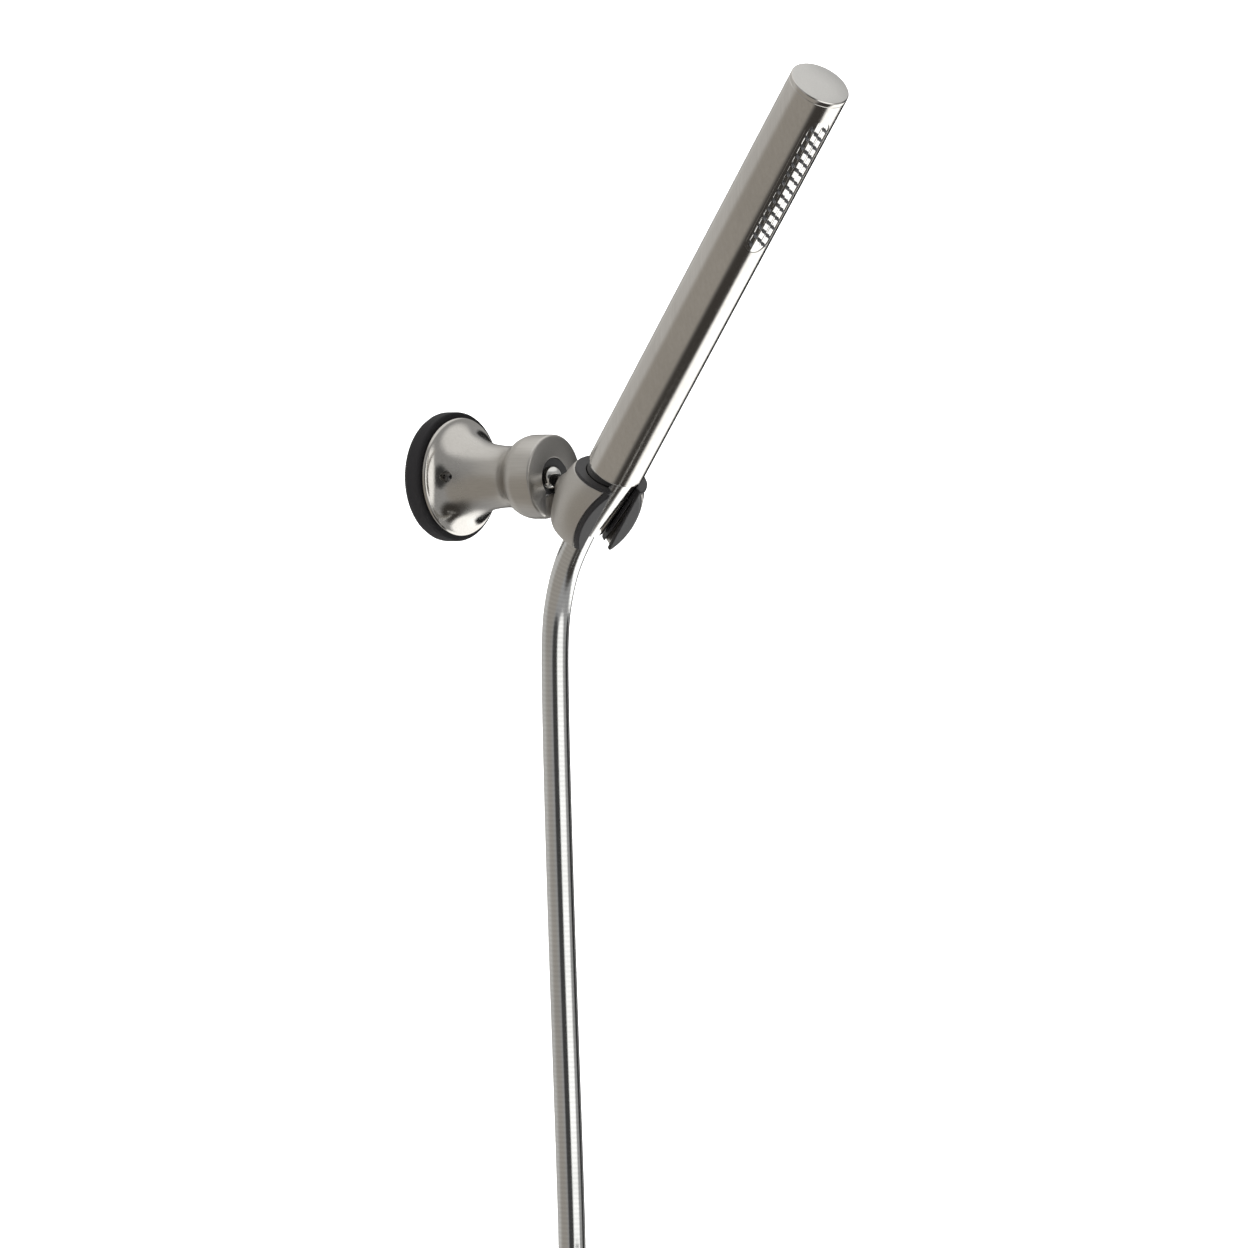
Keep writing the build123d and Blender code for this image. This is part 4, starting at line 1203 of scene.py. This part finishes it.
@dataclass
class EndFitting:
    """Crimped sleeve and hexagon nut on the hose's far end."""

    sleeve_r: float = 8.2 * MM
    sleeve_len: float = 12.0 * MM
    neck_r: float = 7.0 * MM
    flange_at: float = 16.1 * MM
    flange_r: float = 9.0 * MM
    flange_len: float = 1.5 * MM
    bore_r: float = 4.0 * MM
    across: float = 24.0 * MM
    nut_top: float = 12.3 * MM
    nut_low: float = 29.5 * MM
    shoulder: float = 3.5 * MM
    relief: float = 4.2 * MM
    relief_r: float = 9.7 * MM
    thread_r: float = 9.3 * MM
    rib_count: int = 24
    rib_rings: Sequence[float] = (3.0 * MM, 6.0 * MM, 9.0 * MM)

    def make_ferrule(self) -> bpy.types.Object:
        """The sleeve, turned with a neck and a flange, and pressed ribs round it."""
        outline = soften([
            (self.bore_r, 0), (self.sleeve_r - 0.4 * MM, 0),
            (self.sleeve_r - 0.4 * MM, self.sleeve_len),
            (self.neck_r, self.sleeve_len), (self.neck_r, self.flange_at),
            (self.flange_r, self.flange_at), (self.flange_r, self.flange_at + self.flange_len),
            (self.bore_r, self.flange_at + self.flange_len)], 0.4 * MM)
        core = lathe("sleeve", END_SEAT, outline, 96, closed=True)
        rib = lathe("rib", ORIGIN_SEAT, [
            (0, -0.6 * MM), (0.9 * MM, -0.6 * MM), (0.7 * MM, 0.1 * MM), (0.35 * MM, 0.4 * MM),
            (0, 0.42 * MM)], 10)
        spots = []
        for height in self.rib_rings:
            for i in range(self.rib_count):
                a = 2 * math.pi * i / self.rib_count
                look = END_SEAT.x * math.cos(a) + END_SEAT.y * math.sin(a)
                spots.append((END_SEAT.at(0, 0, height) + look * (self.sleeve_r - 0.4 * MM), look))
        nickel = POLISHED.build()
        ribs = scatter("ribs", rib, spots, nickel, 0.02, 11)
        piece = merge("end_ferrule_skin", [core, ribs])
        return dress(piece, nickel, "hose_line", ["end_ferrule"])

    def make_nut(self) -> bpy.types.Object:
        """The hexagon nut with its turned corners, bored for the neck and the pipe thread."""
        corner = self.across / 2 / math.cos(math.pi / 6)
        hexagon = [(corner * math.cos(a), corner * math.sin(a))
                   for a in (math.pi / 3 * i for i in range(6))]
        nut = prism("end_nut_skin", END_SEAT, hexagon, self.nut_top, self.nut_low)
        lead = (corner - self.across / 2) * 0.75
        envelope = lathe("envelope", END_SEAT, [
            (0, self.nut_top), (self.across / 2 - 0.3 * MM, self.nut_top),
            (corner + 0.1 * MM, self.nut_top + lead), (corner + 0.1 * MM, self.nut_low - lead),
            (self.across / 2 - 0.3 * MM, self.nut_low), (0, self.nut_low)], 96)
        combine(nut, envelope, Join.KEEP_COMMON)
        bore = lathe("bore", END_SEAT, [
            (0, 5 * MM), (self.neck_r + 0.3 * MM, 5 * MM),
            (self.neck_r + 0.3 * MM, self.nut_top + self.shoulder),
            (self.relief_r, self.nut_top + self.shoulder),
            (self.relief_r, self.nut_top + self.shoulder + self.relief),
            (self.thread_r, self.nut_top + self.shoulder + self.relief),
            (self.thread_r, 34 * MM), (0, 34 * MM)], 96)
        combine(nut, bore, Join.CUT)
        round_edges(nut, 0.25 * MM, 2)
        return dress(nut, POLISHED.build(), "end_nut_body", ["end_nut"])

    def build(self) -> list[bpy.types.Object]:
        """Make the sleeve and the nut."""
        return [self.make_ferrule(), self.make_nut(), frame["nodes"]["end_washer"]]


# ------------------------------------------------------------------ pieces kept from the model
class Inside(Enum):
    """What each inner piece is made of."""

    RUBBER = ("wall_gasket", "cap_seal", "inlet_seal", "filter_washer", "end_washer")
    STEEL = ("fixing_plate", "base_set_screw", "disc_spring", "stud_nut")
    BRASS = ("tension_plug", "inlet_connector", "hose_ferrule")
    WHITE = ("pressing_cup", "water_chamber", "inner_pipe", "flow_regulator")
    BLACK = ("ball_seat", "friction_washer")


INSIDE_FINISH = {
    Inside.RUBBER: RUBBER, Inside.STEEL: STEEL, Inside.BRASS: BRASS, Inside.WHITE: WHITE,
    Inside.BLACK: LINER_BLACK}


def dress_inside() -> None:
    """Give every inner piece its finish."""
    for group, finish in INSIDE_FINISH.items():
        material = finish.build()
        for node in group.value:
            paint_node(node, material)


# ------------------------------------------------------------------ studio
@dataclass(frozen=True)
class Card:
    """A soft light or dark area of the surroundings: where it is, how wide and how bright."""

    towards: tuple[float, float, float]
    half_angle: float
    soft: float
    colour: Colour


@dataclass
class Studio:
    """Pale floor and backdrop, soft surroundings, two soft lamps and the camera."""

    base: Colour = (0.42, 0.42, 0.42)
    cards: Sequence[Card] = (
        Card((-0.90, -0.10, 0.05), 58, 24, (0.62, 0.61, 0.59)),
        Card((-0.30, -0.62, -0.50), 40, 22, (0.40, 0.375, 0.34)),
        Card((0.61, -0.79, 0.0), 22, 12, (0.06, 0.06, 0.06)),
        Card((0.98, -0.12, 0.0), 26, 10, (1.5, 1.5, 1.48)),
        Card((0.30, 0.00, -0.92), 25, 16, (0.06, 0.055, 0.05)),
        Card((0.10, 0.74, -0.64), 29, 10, (1.8, 1.8, 1.78)),
        Card((-0.45, 0.88, -0.04), 26, 8, (0.02, 0.02, 0.02)),
        Card((0.44, 0.90, 0.0), 16, 8, (0.03, 0.03, 0.03)),
        Card((0.0, 0.1, 1.0), 42, 20, (1.0, 1.0, 0.99)),
    )
    camera_turn: float = math.radians(40)
    camera_back: float = math.radians(37.73)
    camera_reach: float = 2.2
    lens: float = 130.0
    shift_y: float = -0.118
    floor_z: float = -0.62
    paper_glow: float = 0.75
    near: float = 4.0
    depth: float = 2.2
    height: float = 4.5
    bend: float = 1.0
    half_width: float = 5.0

    def surroundings(self) -> None:
        """The world: an even grey with soft light and dark cards laid over it by direction."""
        world = bpy.data.worlds.new("studio")
        world.use_nodes = True
        bpy.context.scene.world = world
        tree = world.node_tree
        ground = tree.nodes["Background"]
        place = tree.nodes.new("ShaderNodeTexCoord").outputs["Generated"]
        colour: Optional[bpy.types.NodeSocket] = None
        for card in self.cards:
            dot = tree.nodes.new("ShaderNodeVectorMath")
            dot.operation = "DOT_PRODUCT"
            tree.links.new(place, dot.inputs[0])
            dot.inputs[1].default_value = Vector(card.towards).normalized()
            ramp = tree.nodes.new("ShaderNodeMapRange")
            ramp.interpolation_type = "SMOOTHSTEP"
            tree.links.new(dot.outputs["Value"], ramp.inputs["Value"])
            outer = math.radians(card.half_angle + card.soft / 2)
            inner = math.radians(max(0.0, card.half_angle - card.soft / 2))
            ramp.inputs["From Min"].default_value = math.cos(outer)
            ramp.inputs["From Max"].default_value = math.cos(inner)
            mix = tree.nodes.new("ShaderNodeMix")
            mix.data_type = "RGBA"
            tree.links.new(ramp.outputs[0], mix.inputs[0])
            if colour is None:
                mix.inputs[6].default_value = (*self.base, 1)
            else:
                tree.links.new(colour, mix.inputs[6])
            mix.inputs[7].default_value = (*card.colour, 1)
            colour = mix.outputs[2]
        tree.links.new(colour, ground.inputs["Color"])
        ground.inputs["Strength"].default_value = 1.0

    def pale(self) -> bpy.types.Material:
        """Even pale paper."""
        paint = Paint("pale_paper")
        paint.shader.inputs["Base Color"].default_value = (0.93, 0.93, 0.93, 1)
        paint.shader.inputs["Roughness"].default_value = 0.9
        paint.shader.inputs["Emission Color"].default_value = (1, 1, 1, 1)
        paint.shader.inputs["Emission Strength"].default_value = self.paper_glow
        return paint.material

    def sweep(self) -> None:
        """A floor that curves up into a backdrop far behind the object."""
        level = self.depth - self.bend
        profile = [(-self.near, 0.0), (level, 0.0)]
        profile += [(level + self.bend * math.sin(a), self.bend - self.bend * math.cos(a))
                    for a in (math.pi / 2 * i / 16 for i in range(1, 17))]
        profile.append((self.depth, self.height))
        away = Vector((-math.sin(self.camera_turn), math.cos(self.camera_turn), 0))
        across = away.cross(UP)
        work = bmesh.new()
        rows = [[work.verts.new(away * run + across * side + UP * (self.floor_z + rise))
                 for side in (-self.half_width, self.half_width)] for run, rise in profile]
        for low, high in zip(rows, rows[1:]):
            work.faces.new([low[0], low[1], high[1], high[0]])
        mesh = bpy.data.meshes.new("sweep")
        work.to_mesh(mesh)
        work.free()
        mesh.materials.append(self.pale())
        floor = new_object("floor_and_backdrop", polish(mesh, SHEET_ANGLE))
        floor.visible_glossy = False

    def lamp(self, name: str, place: Point, target: Vector, size: float, power: float) -> None:
        """A square soft lamp that looks at a point."""
        light = bpy.data.lights.new(name, "AREA")
        light.size = size
        light.energy = power
        lamp = bpy.data.objects.new(name, light)
        lamp.location = place
        lamp.rotation_euler = (target - Vector(place)).to_track_quat("-Z", "Y").to_euler()
        lamp.visible_glossy = False
        bpy.context.scene.collection.objects.link(lamp)

    def camera(self) -> None:
        """The camera, level with the ball and turned round the bracket."""
        data = bpy.data.cameras.new("camera")
        data.lens = self.lens
        data.sensor_width = 36.0
        data.sensor_fit = "HORIZONTAL"
        data.shift_x = 0.0
        data.shift_y = self.shift_y
        data.clip_end = 50.0
        lens = bpy.data.objects.new("camera", data)
        lens.location = (self.camera_reach * math.sin(self.camera_turn),
                         -self.camera_reach * math.cos(self.camera_turn), 0.0)
        lens.rotation_euler = (math.pi / 2, 0.0, self.camera_back)
        bpy.context.scene.collection.objects.link(lens)
        bpy.context.scene.camera = lens

    def build(self) -> None:
        """Set up the camera, the surroundings, the floor and the lamps."""
        bpy.context.scene.view_settings.view_transform = "Standard"
        self.camera()
        self.surroundings()
        self.sweep()
        focus = Vector((0.12, -0.02, -0.1))
        self.lamp("high_lamp", (0.4, -0.9, 1.6), focus, 1.6, 18.0)
        self.lamp("left_lamp", (-1.0, -1.6, 0.5), focus, 1.4, 12.0)


def main() -> None:
    """Build every piece, dress the inner ones and set up the studio."""
    Studio().build()
    HoseLine().build(EndFitting().build())
    WallBase().build()
    BallStud().build()
    Holder().build()
    Handset().build()
    dress_inside()


if __name__ == "__main__":
    main()
